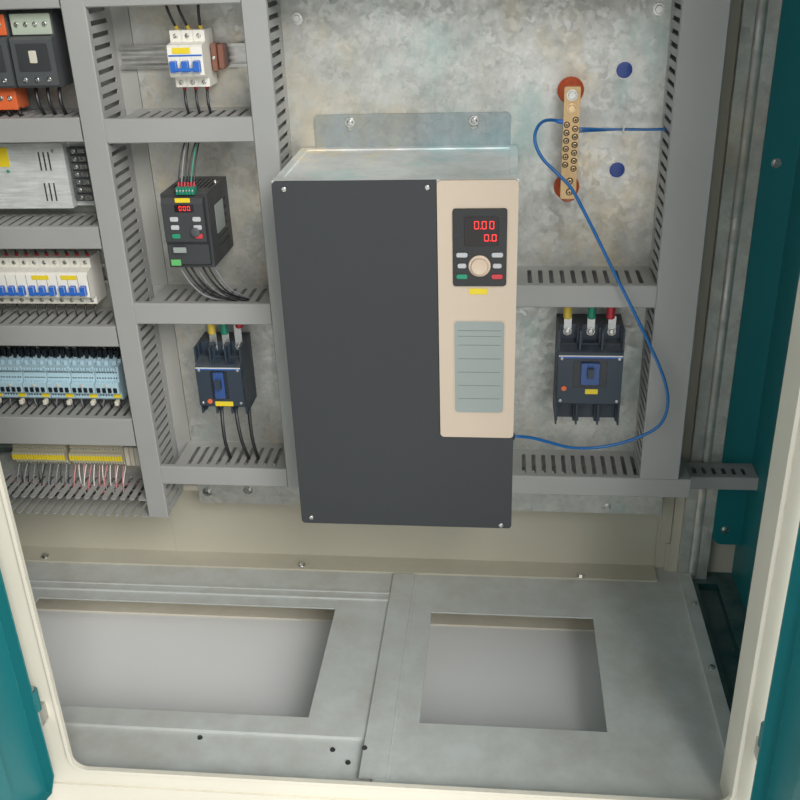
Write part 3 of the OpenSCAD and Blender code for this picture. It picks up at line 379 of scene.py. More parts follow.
class Form:
    """Closed solids gathered into one mesh. Places are in millimetres."""

    def __init__(self):
        self.mesh = bmesh.new()

    def loft(self, rings):
        rows = [[self.mesh.verts.new(p) for p in ring] for ring in rings]
        for row, following in zip(rows, rows[1:]):
            for i in range(len(row)):
                j = (i + 1) % len(row)
                self.mesh.faces.new((row[i], row[j], following[j], following[i]))
        self.mesh.faces.new(rows[0][::-1])
        self.mesh.faces.new(rows[-1])

    def slab(self, x, y, z, r, edge):
        """A block with round corners in X and Z, its front and rear edges softened."""
        def ring(depth, inset):
            points = []
            corners = ((x[1] - r, z[1] - r, 0), (x[0] + r, z[1] - r, 90),
                       (x[0] + r, z[0] + r, 180), (x[1] - r, z[0] + r, 270))
            for corner_x, corner_z, start in corners:
                for k in range(3):
                    angle = math.radians(start + 45 * k)
                    reach = r - inset
                    points.append((corner_x + reach * math.cos(angle), depth,
                                   corner_z + reach * math.sin(angle)))
            return points

        edge = min(edge, (y[1] - y[0]) / 3)
        self.loft([ring(y[0], edge), ring(y[0] + edge, 0), ring(y[1] - edge, 0), ring(y[1], edge)])

    def patch(self, x, z, face, thick, r, edge):
        """A slab that stands out from the face at that Y and sinks into it a little."""
        self.slab(x, (face - thick, face + SEATED), z, r, edge)

    def turned(self, centre, axis, profile, sides=24):
        """A lathe form: profile is a list of radius and distance along the axis."""
        turn = Vector(axis).to_track_quat("Z", "Y")
        angles = [2 * math.pi * k / sides for k in range(sides)]
        self.loft([[Vector(centre) + turn @ Vector((r * math.cos(a), r * math.sin(a), d)) for a in angles]
                   for r, d in profile])

    def tube(self, path, r, sides=8):
        path = [Vector(p) for p in path]
        along = [(b - a).normalized() for a, b in zip([path[0]] + path[:-1], path[1:] + [path[-1]])]
        angles = [2 * math.pi * k / sides for k in range(sides)]
        across = along[0].orthogonal().normalized()
        rings = []
        for point, way in zip(path, along):
            across = (across - across.dot(way) * way).normalized()
            other = way.cross(across)
            rings.append([point + r * (math.cos(a) * across + math.sin(a) * other) for a in angles])
        self.loft(rings)

    def wire(self, start, end, r, bow):
        """A short wire that bows out a little between its ends."""
        a, b, out = Vector(start), Vector(end), Vector(bow)
        self.tube(smooth_path([a, a.lerp(b, 0.3) + out * 0.8, a.lerp(b, 0.65) + out, b], 3), r)

    def screw(self, centre, axis, r, spin=0.4):
        """A pan head with a cross recess."""
        turn = Vector(axis).to_track_quat("Z", "Y")
        height = r * 0.55
        arm, half = r * 0.62, r * 0.17

        def place(x, y, z):
            c, s = math.cos(spin), math.sin(spin)
            return Vector(centre) + turn @ Vector((c * x - s * y, s * x + c * y, z))

        def ring(radius, z):
            angles = [math.radians(30 * k - 15) for k in range(12)]
            return [place(radius * math.cos(a), radius * math.sin(a), z) for a in angles]

        cross = []
        for x, y in ((1, 0), (0, 1), (-1, 0), (0, -1)):
            cross += [(arm * x + half * y, arm * y - half * x), (arm * x - half * y, arm * y + half * x),
                      (half * (x - y), half * (y + x))]
        top = [place(x, y, height) for x, y in cross]
        pit = [place(x * 0.8, y * 0.8, height * 0.3) for x, y in cross]
        self.loft([ring(r, 0), ring(r, height * 0.4), ring(r * 0.86, height * 0.85),
                   ring(r * 0.7, height), top, pit])

    def bolt(self, centre, axis, r, washer=1.5):
        """A hexagon head on its washer; r is half the width across the corners."""
        self.turned(centre, axis, [(washer * r, 0), (washer * r, r * 0.12), (washer * r * 0.96, r * 0.2)])
        self.turned(centre, axis, [(r, r * 0.2), (r, r * 0.75), (r * 0.9, r * 0.85)], 6)

    def make(self, name, kind, body=CABINET):
        bmesh.ops.recalc_face_normals(self.mesh, faces=self.mesh.faces)
        bmesh.ops.scale(self.mesh, vec=(MM, MM, MM), verts=self.mesh.verts)
        mesh = bpy.data.meshes.new(name)
        self.mesh.to_mesh(mesh)
        self.mesh.free()
        mesh.polygons.foreach_set("use_smooth", [True] * len(mesh.polygons))
        mesh.set_sharp_from_angle(angle=SHARP_ANGLE)
        mesh.materials.append(FINISHES[kind])
        made = bpy.data.objects.new(name, mesh)
        bpy.context.scene.collection.objects.link(made)
        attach(made, body)
        return made


# Duct slots and the wires between them and the terminals

SLOT_PITCH = 17.4


def slots(start, end, notch=0):
    """Middles of the slots of a duct, spaced as part.scad spaces them."""
    length = end - start - notch
    count = math.floor((length - SLOT_PITCH) / SLOT_PITCH)
    first = start + notch + (length - (count - 1) * SLOT_PITCH) / 2
    return [first + i * SLOT_PITCH for i in range(count)]


def nearest(values, wanted):
    return min(values, key=lambda value: abs(value - wanted))


LEFT_SLOTS = slots(-748, -308.2)
MIDDLE_SLOTS = slots(-270.8, -40.2, 25)
V3_SLOTS = slots(409.2, 1680)
V1_SLOTS = slots(303, 1680)


class Wiring:
    """Short wires between terminals and duct slots, one mesh for each colour."""

    def __init__(self, name):
        self.name = name
        self.forms = {}

    def form(self, kind):
        return self.forms.setdefault(kind, Form())

    def run(self, kind, start, end, r, bow, ferrule=None, ferrule_r=0):
        """The ferrule is a coloured sleeve where the wire goes into its terminal."""
        self.form(kind).wire(start, end, r, bow)
        if ferrule:
            a, b = Vector(start), Vector(end)
            way = (b.lerp(a, 0.7) + Vector(bow) * 0.8 - a).normalized()
            profile = [(ferrule_r * 0.9, -2), (ferrule_r, 0), (ferrule_r, 7), (ferrule_r * 0.9, 8)]
            self.form(ferrule).turned(a, way, profile, 12)

    def make(self):
        for kind, form in self.forms.items():
            form.make(f"{self.name}_{kind}", kind)


# The blue lead: its route repeats part.scad's

LEAD_R = 2.5
LEAD_POINTS = [
    (424.7, 187, 999), (415, 186, 1001), (405, 181, 1003), (395, 171, 1003), (387, 160, 998),
    (382, 151, 986), (385, 145, 970), (396, 141, 952), (415, 137, 934), (438, 133, 911),
    (462, 129, 870), (486, 126, 825), (506, 123, 787), (526, 120, 750), (549, 117, 707),
    (571, 114, 664), (587, 112, 632), (599, 111, 602), (606, 111, 570), (603, 111, 540),
    (590, 111, 519), (560, 109, 502), (524, 105, 491), (487, 100, 487), (450, 92, 492),
    (418, 82, 506), (394, 72, 518), (376, 62, 526), (366, 56, 530), (358, 56, 530)]


def blue_lead():
    path = smooth_path(LEAD_POINTS, 4)
    tube = Form()
    tube.tube(path, LEAD_R, 12)
    lead = tube.make("lead", "lead_blue")
    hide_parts("blue_lead")
    grommet = Form()
    grommet.turned((357.8, 56, 530), (1, 0, 0),
                   [(6.5, -0.1), (6.5, 1.2), (5.4, 2.4), (3.0, 3.0), (2.7, 2.6)])
    grommet.make("lead_grommet", "wire_black")
    sleeve = Form()
    sleeve.turned(LEAD_POINTS[0], (-1, 0, 0.12), [(3.2, -0.6), (3.4, 0), (3.4, 9), (2.8, 10)], 16)
    sleeve.make("lead_ferrule", "lever_blue")


# Devices. The constants ending in _Y are the places of front faces, _STEP those set back from them.

PLATE_Y = 234

DRIVE_COVER_Y = 4
STRIP_Y = 1
KEYPAD_Y = -2
FLANGE_Y = 231
KNOB_X, KNOB_Z = 304.7, 835
KEY_KINDS = ("button_grey", "button_green", "button_red")


def lit_zero(form, x, z, width, height, y, stroke):
    """The six lit segments of a display's 0."""
    gap, inset, proud = 0.35, 0.6, 0.3
    depth = (y - proud, y + 0.05)
    middle = z + height / 2
    for low in (z, z + height - stroke):
        form.slab((x + gap + inset, x + width - gap - inset), depth, (low, low + stroke), 0.4, 0.1)
    for left in (x, x + width - stroke):
        for low, high in ((z + gap, middle - gap), (middle + gap, z + height - gap)):
            form.slab((left, left + stroke), depth, (low, high), 0.4, 0.1)


def drive_details():
    screws = Form()
    for x, z in ((30, 945), (232, 946), (29, 399), (341, 394)):
        screws.screw((x, DRIVE_COVER_Y, z), OUT, 4.2)
    for x in (93.5, 289.5):
        screws.turned((x, FLANGE_Y, 995), OUT, [(8, 0), (8, 1.1), (7.4, 1.6)])
        screws.screw((x, FLANGE_Y - 1.6, 995), OUT, 5.2)
    screws.make("drive_screws", "screw_steel")
    keypad_details()

    tag = Form()
    tag.patch((289.6, 316), (791, 800), STRIP_Y, 0.7, 0.8, 0.2)
    tag.make("drive_tag", "tag_yellow")
    sheet = Form()
    sheet.slab((268.2, 341.2), (-0.25, 0.3), (600.5, 749.5), 5, 0.1)
    sheet.make("drive_sheet", "label_grey")
    rules = Form()
    for z in (735, 726, 712, 690, 668, 646, 624):
        rules.slab((273, 336.5), (-0.45, -0.2), (z - 0.5, z + 0.5), 0.4, 0.05)
    rules.make("drive_sheet_rules", "label_line")


def keypad_details():
    """The display that reads 0.00 and 0.0, the knob and the six keys of the main drive."""
    window = Form()
    window.patch((283, 331), (864, 906), KEYPAD_Y, 0.7, 2.5, 0.3)
    window.make("keypad_window", "window_dark")
    digits = Form()
    display_y = KEYPAD_Y - 0.7
    digit_pitch, digit_w = 10.6, 6.6
    for left, low, high, count in ((297, 888.5, 900, 3), (311, 871, 881, 2)):
        for i in range(count):
            lit_zero(digits, left + i * digit_pitch, low, digit_w, high - low, display_y, 1.1)
        digits.turned((left + 8.9, display_y, low + 0.7), OUT, [(0.65, 0), (0.65, 0.3)], 12)
    digits.make("keypad_digits", "digit_red")

    knob = Form()
    knob.turned((KNOB_X, KEYPAD_Y, KNOB_Z), OUT,
                [(15.6, 0), (15.6, 2.0), (15.0, 2.5), (12.6, 2.6), (12.2, 3.2), (11.9, 6.4),
                 (11.2, 7.2), (8.5, 7.1), (6.5, 6.4), (2.0, 6.2)], 48)
    knob.make("keypad_knob", "knob_peach")
    caps = {kind: Form() for kind in KEY_KINDS}
    for side in (-1, 1):
        for row in (-1, 0, 1):
            kind = "button_grey" if row > -1 else ("button_green" if side < 0 else "button_red")
            half = 6.3 if row == 0 else 8.1
            x, z = KNOB_X + side * 25, KNOB_Z + row * 16
            caps[kind].slab((x - half, x + half), (KEYPAD_Y - 2.1, KEYPAD_Y), (z - 3.5, z + 3.5), 2.6, 0.7)
    for kind, form in caps.items():
        form.make("keypad_" + kind, kind)


SMALL_Y = 104
SMALL_FOOT_Y = 109


def small_drive_details():
    patches = (
        ("window_dark", (-167, -137), (886, 898), SMALL_Y),
        ("tag_yellow", (-165, -141), (901, 908), SMALL_Y),
        ("label_grey", (-178, -157), (821, 830), SMALL_Y),
        ("patch_green", (-186, -170), (798.5, 808.5), SMALL_FOOT_Y),
    )
    for kind, x, z, face in patches:
        plate = Form()
        plate.patch(x, z, face, 0.9, 1.0, 0.3)
        plate.make("small_drive_" + kind, kind)
    digits = Form()
    for i in range(3):
        lit_zero(digits, -160 + i * 6.6, 888.5, 4.4, 7.2, SMALL_Y - 0.9, 0.9)
    digits.make("small_drive_digits", "digit_red")
    keys = {kind: Form() for kind in KEY_KINDS}
    for x, lowest in ((-170, "button_green"), (-134, "button_red")):
        for z, kind in ((875, "button_grey"), (862, "button_grey"), (848, lowest)):
            keys[kind].patch((x - 6.6, x + 6.6), (z - 3.7, z + 3.7), SMALL_Y, 1.8, 2, 0.6)
    for kind, form in keys.items():
        form.make("small_drive_key_" + kind, kind)
    sheet = Form()
    sheet.slab((-118.1, -117.4), (150, 198), (838, 884), 0.3, 0.25)
    sheet.make("small_drive_sheet", "label_grey")
    knob = Form()
    knob.turned((-138, SMALL_Y - 4, 855), OUT, [(7.4, -0.2), (7.4, 0.4), (6.6, 1.0), (2, 1.0)], 32)
    knob.make("small_drive_knob", "contactor_grey")
    small_drive_wiring()


def small_drive_wiring():
    """The green terminal strip on top, its wires and those that leave below."""
    strip = Form()
    screws = Form()
    wiring = Wiring("small_drive_wires")
    pitch = 4.9
    kinds = ("wire_black", "wire_grey", "wire_black", "wire_black", "wire_green", "wire_black")
    for i in range(len(kinds)):
        left = -165 + i * pitch
        strip.slab((left, left + 4.6), (112, 129), (910.5, 922), 0.6, 0.8)
        screws.screw((-162.7 + i * pitch, 112, 917), OUT, 1.6)
    strip.make("small_drive_terminals", "wire_green")
    screws.screw((-124, 190, 911), UP, 4)
    screws.make("small_drive_screws", "screw_steel")

    upper_slot = nearest(MIDDLE_SLOTS, -152)
    for i, kind in enumerate(kinds):
        end = (upper_slot + SLOT_PITCH * (i // 3) + 1.6 * (i % 3 - 1), 162 + 4 * (i % 3), 989)
        bow = (random.uniform(-2, 2), -7, 3)
        wiring.run(kind, (-162.7 + i * pitch, 122, 920), end, 1.2, bow, "wire_red", 1.9)
    lower_slot = nearest(MIDDLE_SLOTS, -122)
    for i in range(9):
        start = (-182 + i * 6.5, 128 + 5 * (i % 3), 795)
        end = (lower_slot + SLOT_PITCH * (i // 3) + 1.5 * (i % 3 - 1), 155 + 7 * (i % 3), 722)
        wiring.run("wire_black" if i % 4 else "wire_grey", start, end, 1.4, (-6, -12 + 4 * (i % 3), -8))
    wiring.make()


def moulded_breaker_details(name, sides, face, front, stripe_z, field, lever, button, tag,
                            screws_at, sleeves):
    """What the two moulded-case breakers carry: stripe, lever field, test button, tag and lugs."""
    plain_field = Form()
    plain_field.patch(*field, face, 0.7, 1.5, 0.3)
    plain_field.make(name + "_field", "cover_black")
    low_x, high_x = sides
    for kind, low in (("lever_blue", stripe_z), ("wire_white", stripe_z + 2.4)):
        band = Form()
        band.patch((low_x + 1.5, high_x - 1.5), (low, low + 2.2), face, 0.5, 0.6, 0.15)
        band.make(f"{name}_band_{kind}", kind)
    lever_x, lever_y, lever_z = lever
    rocker = Form()
    rocker.slab(lever_x, (lever_y, face), lever_z, 2.2, 0.8)
    rocker.make(name + "_rocker", "rocker_blue")
    dot = Form()
    dot.turned((button[0], face, button[1]), OUT, [(4.6, -0.1), (4.6, 1.4), (4.0, 2.1), (1.5, 2.2)], 32)
    dot.make(name + "_button", "end_orange")
    label = Form()
    label.patch(*tag, face, 0.9, 0.8, 0.2)
    label.make(name + "_tag", "tag_yellow")
    screws = Form()
    for x in (low_x + 7, high_x - 7):
        for z in (front[0] + 8, front[1] - 10):
            screws.screw((x, face, z), OUT, 3.0)
    terminal_y = face + 36
    for x, z in screws_at:
        screws.turned((x, terminal_y, z), OUT, [(7.2, 0), (7.2, 1.4), (6.6, 2.0)])
        screws.screw((x, terminal_y - 2, z), OUT, 5.4)
    screws.make(name + "_screws", "screw_steel")
    lugs = Form()
    for (x, z), (_, low, _, _) in zip(screws_at, sleeves):
        lugs.slab((x - 6.5, x + 6.5), (terminal_y - 1.2, terminal_y), (z - 6, low + 4), 2.5, 0.3)
    lugs.make(name + "_lugs", "hinge_zinc")
    for x, low, high, kind in sleeves:
        sleeve = Form()
        length = high - low
        profile = [(5.6, 0), (6.8, 1.5), (7.0, 4), (6.9, length - 3), (6.6, length - 0.3)]
        sleeve.turned((x, terminal_y - 3, low), UP, profile, 20)
        sleeve.make(f"{name}_sleeve_{kind}", kind)


def left_moulded_breaker():
    moulded_breaker_details(
        "breaker_left", sides=(-188, -106), face=154, front=(525, 605), stripe_z=596,
        field=((-162, -132), (541, 594)), lever=((-156.5, -137.5), 148.3, (543.5, 592.5)),
        button=(-168, 536),
        tag=((-159, -127), (527, 536)), screws_at=((-160, 622), (-137.5, 622), (-115, 626)),
        sleeves=((-160, 650, 686.5, "wire_yellow"), (-137.5, 650, 686.5, "wire_green"),
                 (-110, 662, 686.5, "wire_red")))
    wiring = Wiring("breaker_left_wires")
    for start_x, end_x in ((-162, -160), (-137, -125), (-112, -97)):
        end = (nearest(MIDDLE_SLOTS, end_x), 178, 408)
        wiring.run("wire_black", (start_x, 196, 512), end, 3.2, (0, -14, 0))
    wiring.make()


def right_moulded_breaker():
    moulded_breaker_details(
        "breaker_right", sides=(430, 537), face=150, front=(541, 636), stripe_z=627,
        field=((456, 511), (574, 622)), lever=((468, 499), 144.3, (580.5, 619.5)),
        button=(442, 572),
        tag=((477, 498), (562, 571)), screws_at=((446, 660), (484, 660), (518, 660)),
        sleeves=((445, 684, 719.6, "wire_yellow"), (484, 684, 719.6, "wire_green"),
                 (514.5, 684, 719.6, "wire_red")))


# The miniature breakers, alone at the top and in a row of six at the left

BREAKER_Y = 162
BREAKER_STEP = 184
LEVER_REACH = 9.6


def top_breaker():
    wiring = Wiring("breaker_top_wires")
    screws = Form()
    levers = Form()
    for i, x in enumerate((-157.2, -139.2, -121.2)):
        for z in (1134, 1067):
            screws.screw((x, BREAKER_STEP, z), OUT, 3.6, 0.4 + i)
        levers.patch((x - 5.2, x + 5.2), (1084.6, 1101.4), BREAKER_Y, LEVER_REACH, 1.2, 1.2)
        above, below = nearest(MIDDLE_SLOTS, x - 4), nearest(MIDDLE_SLOTS, x + 5)
        wiring.run("wire_black", (x, 198, 1141), (above, 190, 1184), 2.2, (0, -5, 0), "wire_yellow", 3)
        wiring.run("wire_black", (x, 198, 1061), (below, 186, 1019), 2.2, (0, -6, 0), "wire_red", 3)
    levers.slab((-157.2, -121.2), (151.6, 154.8), (1086.5, 1091.5), 1.0, 0.6)
    levers.patch((-165, -113.4), (1107, 1109.4), BREAKER_Y, 0.5, 0.6, 0.15)
    screws.make("breaker_top_screws", "screw_steel")
    levers.make("breaker_top_levers", "lever_blue")
    tag = Form()
    tag.patch((-158, -131), (1111, 1119.5), BREAKER_Y, 0.9, 0.8, 0.2)
    tag.make("breaker_top_tag", "tag_yellow")
    stop = Form()
    stop.slab((-110, -101.5), (198, 226), (1080, 1121), 2.5, 1.2)
    stop.slab((-100.8, -91), (202, 226), (1083, 1119), 2.5, 1.2)
    stop.make("rail_end_stop", "end_brown")
    stop_screw = Form()
    stop_screw.screw((-105.7, 198, 1100), OUT, 3)
    stop_screw.make("rail_end_stop_screw", "screw_steel")
    wiring.make()


def breaker_row_details():
    screws = Form()
    levers = Form()
    lines = Form()
    wiring = Wiring("breaker_row_wires")
    breaker_w, pole_w = 54, 18
    for group in range(6):
        first = -408 - breaker_w * group
        for pole in range(3):
            x = first + pole_w * pole + 8.8
            screws.screw((x, BREAKER_STEP, 779), OUT, 3.7, x)
            screws.screw((x, BREAKER_STEP, 712), OUT, 3.7, x + 1)
            levers.patch((x - 5.1, x + 5.1), (729.6, 746.4), BREAKER_Y, LEVER_REACH, 1.2, 1.2)
            above, below = nearest(LEFT_SLOTS, x + 4), nearest(LEFT_SLOTS, x - 3)
            wiring.run("wire_black", (x, 199, 785), (above, 192, 821), 2.0, (0, -4, 0), "wire_red", 2.9)
            wiring.run("wire_black", (x, 199, 706), (below, 190, 678), 1.3, (0, -5, 0))
            lines.patch((x + 8.6, x + 9.4), (726, 764), BREAKER_Y, 0.4, 0.3, 0.1)
        levers.slab((first + 9, first + 44), (151.6, 154.8), (731.5, 736.5), 1.0, 0.6)
    screws.make("breaker_row_screws", "screw_steel")
    levers.make("breaker_row_levers", "lever_blue")
    lines.make("breaker_row_joints", "label_line")
    tags = Form()
    for x in ((-452, -422), (-401, -373)):
        tags.patch(x, (756, 763.5), BREAKER_Y, 0.8, 0.8, 0.2)
    tags.make("breaker_row_tags", "tag_yellow")
    wiring.make()


CONTACTOR_Y = 146
CONTACTOR_STEP = 160
CONTACTOR_PITCH = 71
# The second contactor from the right is of another make, with orange terminal blocks
ORANGE_ONE = 1


def contactor_details():
    blocks = Form()
    ends = Form()
    fields = Form()
    screws = Form()
    windows = Form()
    wiring = Wiring("contactor_wires")
    block_z = (1143, 1173)
    block_y = CONTACTOR_STEP - 3.5
    for i in range(5):
        x0 = -401 - CONTACTOR_PITCH * i
        orange = i == ORANGE_ONE
        if orange:
            for x in (x0 + 2, x0 + 50):
                ends.patch((x, x + 14), block_z, CONTACTOR_STEP, 3.5, 1.5, 0.8)
            ends.slab((x0 + 3, x0 + 54), (166, 206), (1033, 1068.3), 1.5, 1.0)
            for k in range(3):
                screws.screw((x0 + 14 + 15 * k, 166, 1051), OUT, 4.2, k)
        else:
            blocks.patch((x0 + 2, x0 + 64), block_z, CONTACTOR_STEP, 3.5, 1.5, 0.8)
        fields.patch((x0 + 8, x0 + 58), (1092, 1132), CONTACTOR_Y, 0.8, 2, 0.4)
        windows.patch((x0 + 27, x0 + 39), (1104, 1122), CONTACTOR_Y - 0.8, 1.6, 1.5, 0.6)
        for k in range(4):
            between_ends = orange and k in (1, 2)
            y = CONTACTOR_STEP if between_ends else block_y + SEATED
            screws.screw((x0 + 11 + 14.6 * k, y, 1158), OUT, 3.8, k)
        for k in range(3):
            x = x0 + 14 + 19 * k
            screws.screw((x, CONTACTOR_Y, 1080), OUT, 4.0, k + 0.3)
            start = (x, 176, 1035 if orange else 1069)
            wiring.run("wire_black", start, (nearest(LEFT_SLOTS, x + 3), 178, 1021), 2.8, (0, -10, 0))
    blocks.make("contactor_blocks", "cream_green")
    ends.make("contactor_block_ends", "end_orange")
    fields.make("contactor_fields", "small_drive_grey")
    windows.make("contactor_windows", "cream_plastic")
    screws.make("contactor_screws", "screw_steel")
    wiring.make()


SUPPLY_Y = 184
SUPPLY_TERMINAL_Y = 190
SUPPLY_STEP = 202


def power_supply_details():
    strip = Form()
    screws = Form()
    wiring = Wiring("supply_wires")
    kinds = ("wire_white", "wire_red", "wire_white", "wire_black", "wire_grey", "wire_black", "wire_black")
    for i, kind in enumerate(kinds):
        z = 888 + i * 12.6
        reach = SUPPLY_STEP - SUPPLY_TERMINAL_Y
        strip.patch((-362, -330), (z - 5.6, z + 5.6), SUPPLY_STEP, reach, 1.0, 0.8)
        screws.screw((-352, SUPPLY_TERMINAL_Y, z), OUT, 4.0, i)
        screws.patch((-345, -334), (z - 3.6, z + 3.6), SUPPLY_TERMINAL_Y, 1.1, 0.8, 0.4)
        wiring.run(kind, (-331, 196, z), (-305, 196, nearest(V1_SLOTS, z + 4)), 1.7, (0, -5, 2))
    strip.make("supply_terminals", "contactor_grey")
    # Dark floors in the slits of the case: painted shade inside them
    slits = Form()
    for x in (-410, -402, -394):
        for z in (884, 934):
            slits.slab((x, x + 3), (184.9, 185.6), (z, z + 30), 0.6, 0.2)
    slits.make("supply_slit_shade", "painted_hollow_shade")
    for x, z in ((-548, 966), (-548, 884), (-384, 966)):
        screws.screw((x, SUPPLY_Y, z), OUT, 3.2)
    screws.make("supply_screws", "screw_steel")
    tag = Form()
    tag.patch((-481, -460), (941, 972), SUPPLY_Y, 0.8, 0.8, 0.2)
    tag.make("supply_tag", "tag_yellow")
    light = Form()
    light.turned((-465, SUPPLY_Y, 934), OUT, [(2.6, -0.1), (2.6, 1.0), (1.6, 1.8), (0.6, 2.0)], 20)
    light.make("supply_light", "wire_green")
    wiring.make()


RELAY_Y = 160
RELAY_STEP = 170
RELAY_SOCKET_PITCH = 44.5
RELAY_PITCH = 10.2


def relay_details():
    tops = Form()
    holes = Form()
    clips = Form()
    tags = Form()
    teeth = Form()
    wiring = Wiring("relay_wires")
    kinds = ("wire_black", "wire_grey", "wire_black", "wire_black")
    for group in range(8):
        x0 = -376 - RELAY_SOCKET_PITCH * group
        for k in range(4):
            x = x0 + 2.6 + k * RELAY_PITCH
            tops.patch((x, x + 6.6), (547, 556), RELAY_Y, 2.5, 0.8, 0.6)
            tops.slab((x, x + 7.4), (187, 201), (600, 617), 1.0, 0.8)
            for i in range(2):
                # Dark discs in the terminal holes: painted shade
                for z, y in ((537, 170), (571, 169), (581, 170.6)):
                    holes.turned((x + 1 + 4.6 * i, y, z), OUT, [(1.5, -0.1), (1.5, 0.3), (1.1, 0.4)], 12)
                tooth_x = (x - 0.6 + 4.6 * i, x + 2.4 + 4.6 * i)
                teeth.slab(tooth_x, (161, 172.5), (587, 593), 0.8, 0.8)
                teeth.slab(tooth_x, (160.6, 169.5), (562, 566.5), 0.8, 0.8)
            above, below = nearest(LEFT_SLOTS, x + 5), nearest(LEFT_SLOTS, x + 1)
            wiring.run(kinds[(k + group) % 4], (x + 4, 194, 615), (above, 184, 649), 1.2, (0, -7, 0))
            kind = "wire_black" if k % 2 else "wire_grey"
            wiring.run(kind, (x + 4, 180, 530), (below, 186, 503), 1.2, (0, -5, 0))
        clips.slab((x0 + 30, x0 + 37), (160, 171), (520, 529), 1.4, 1.0)
        clips.patch((x0 + 19, x0 + 24), (558.5, 562), RELAY_Y, 3.2, 0.8, 0.5)
        tags.patch((x0 + 27, x0 + 41), (532, 539), RELAY_STEP, 0.9, 0.8, 0.2)
    tops.make("relay_tops", "cover_black")
    holes.make("relay_terminal_hole_shade", "painted_hollow_shade")
    clips.make("relay_clips", "cream_plastic")
    tags.make("relay_tags", "tag_yellow")
    teeth.make("relay_teeth", "relay_cyan")
    wiring.make()


TERMINAL_Y = 188
TERMINAL_STEP = 196
TERMINAL_PITCH = 5.2
TERMINAL_ROWS = (
    (-578, ("wire_grey", "wire_black", "wire_grey")),
    (-466, ("wire_white", "wire_pink", "wire_white")))


def terminal_details():
    markers = Form()
    screws = Form()
    gaps = Form()
    wiring = Wiring("terminal_wires")
    for row, (x0, kinds) in enumerate(TERMINAL_ROWS):
        for i in range(20):
            x = x0 + TERMINAL_PITCH * i + 2.5
            markers.patch((x - 2.2, x + 2.2), (391, 401), TERMINAL_Y, 1.1, 0.5, 0.2)
            gaps.patch((x + 2.35, x + 2.85), (389.5, 404.5), TERMINAL_Y, 0.4, 0.2, 0.1)
            for z in (411, 380.5):
                screws.turned((x, TERMINAL_STEP, z), OUT, [(1.9, 0), (1.9, 0.5), (1.5, 0.8)], 12)
            kind = kinds[(i + row) % 3]
            if i % 4 != 3:
                wiring.run(kind, (x, 206, 419), (nearest(LEFT_SLOTS, x + 2), 194, 455), 1.1, (0, -6, 0))
            if i % 3 != 2:
                aim = x + random.uniform(-6, 6)
                end = (aim, 190 + random.uniform(-14, 8), 322)
                wiring.run(kind, (x, 206, 376), end, 1.1, (0, -9, 0))
    markers.make("terminal_markers", "tag_yellow")
    screws.make("terminal_screws", "screw_steel")
    gaps.make("terminal_gaps", "label_line")
    clamps = Form()
    for x in (-361, -351.5, -342):
        clamps.slab((x, x + 8.5), (196, 226), (376, 416), 1.5, 1.2)
    clamps.make("terminal_clamps", "cream_plastic")
    wiring.make()


def open_duct_wires():
    """The wires that lie in the duct without a cover."""
    kinds = ("wire_black", "wire_grey", "wire_black", "wire_white", "wire_black", "wire_grey", "wire_pink")
    forms = {}
    highest = 334
    for i, kind in enumerate(kinds):
        z = 309 + 3.6 * i
        y = 200 - 4 * (i % 3)
        path = [(x, y + random.uniform(-9, 9), min(z + random.uniform(-3, 3), highest))
                for x in range(-738, -312, 35)]
        forms.setdefault(kind, Form()).tube(smooth_path(path, 3), 1.5)
    for kind, form in forms.items():
        form.make("open_duct_" + kind, kind)


BAR_Y = 184


def neutral_bar_details():
    screws = Form()
    wells = Form()
    places = [(430.5, z, 3.7) for z in (995, 983, 971, 959, 947, 935)]
    places += [(443.3, z, 3.7) for z in (1002, 989, 977, 965, 953, 941, 929)]
    places += [(438.5, z, 4.4) for z in (910, 893)]
    for i, (x, z, r) in enumerate(places):
        screws.screw((x, BAR_Y, z), OUT, r, i * 0.8)
        # Dark rings round the screws and dark pits in their middles: painted shade in the wells
        wells.turned((x, BAR_Y, z), OUT, [(r + 1, -0.1), (r + 1, 0.25), (r + 0.9, 0.3)], 20)
        recess = 0.3 * r
        wells.turned((x, BAR_Y - recess, z), OUT, [(1.5, 0), (1.5, recess), (1.3, recess + 0.1)], 12)
    screws.bolt((436.5, BAR_Y, 1019), OUT, 6.0, 1.3)
    screws.make("bar_screws", "ring_brass")
    wells.make("bar_well_shade", "painted_hollow_shade")
    bolts = Form()
    bolts.bolt((436.5, BAR_Y, 1038), OUT, 6.4, 1.35)
    bolts.make("bar_bolts", "screw_steel")
    pair = Form()
    target = nearest(V3_SLOTS, 986)
    for i in range(2):
        path = [(446, 190 + 4 * i, 988 - 6 * i), (454, 190 + 4 * i, 988 - 5 * i),
                (480, 196 + 4 * i, 986 - 3 * i), (520, 199 + 3 * i, 984),
                (552, 200 + 2 * i, 983), (580, 198 + 3 * i, target)]
        pair.tube(smooth_path(path, 4), 1.9)
    pair.make("bar_pair", "lead_blue")
    tie = Form()
    tie.turned((516, 199.8, 984), (1, 0.05, -0.02), [(4.6, -1.4), (4.9, -1.0), (4.9, 1.0), (4.6, 1.4)], 20)
    tie.slab((514.4, 517.6), (192.4, 196), (986, 991), 0.9, 0.5)
    tie.make("bar_pair_tie", "wire_white")


FLOOR_Z = 104
LEDGE_Z = 114
BEAM_Z = 115


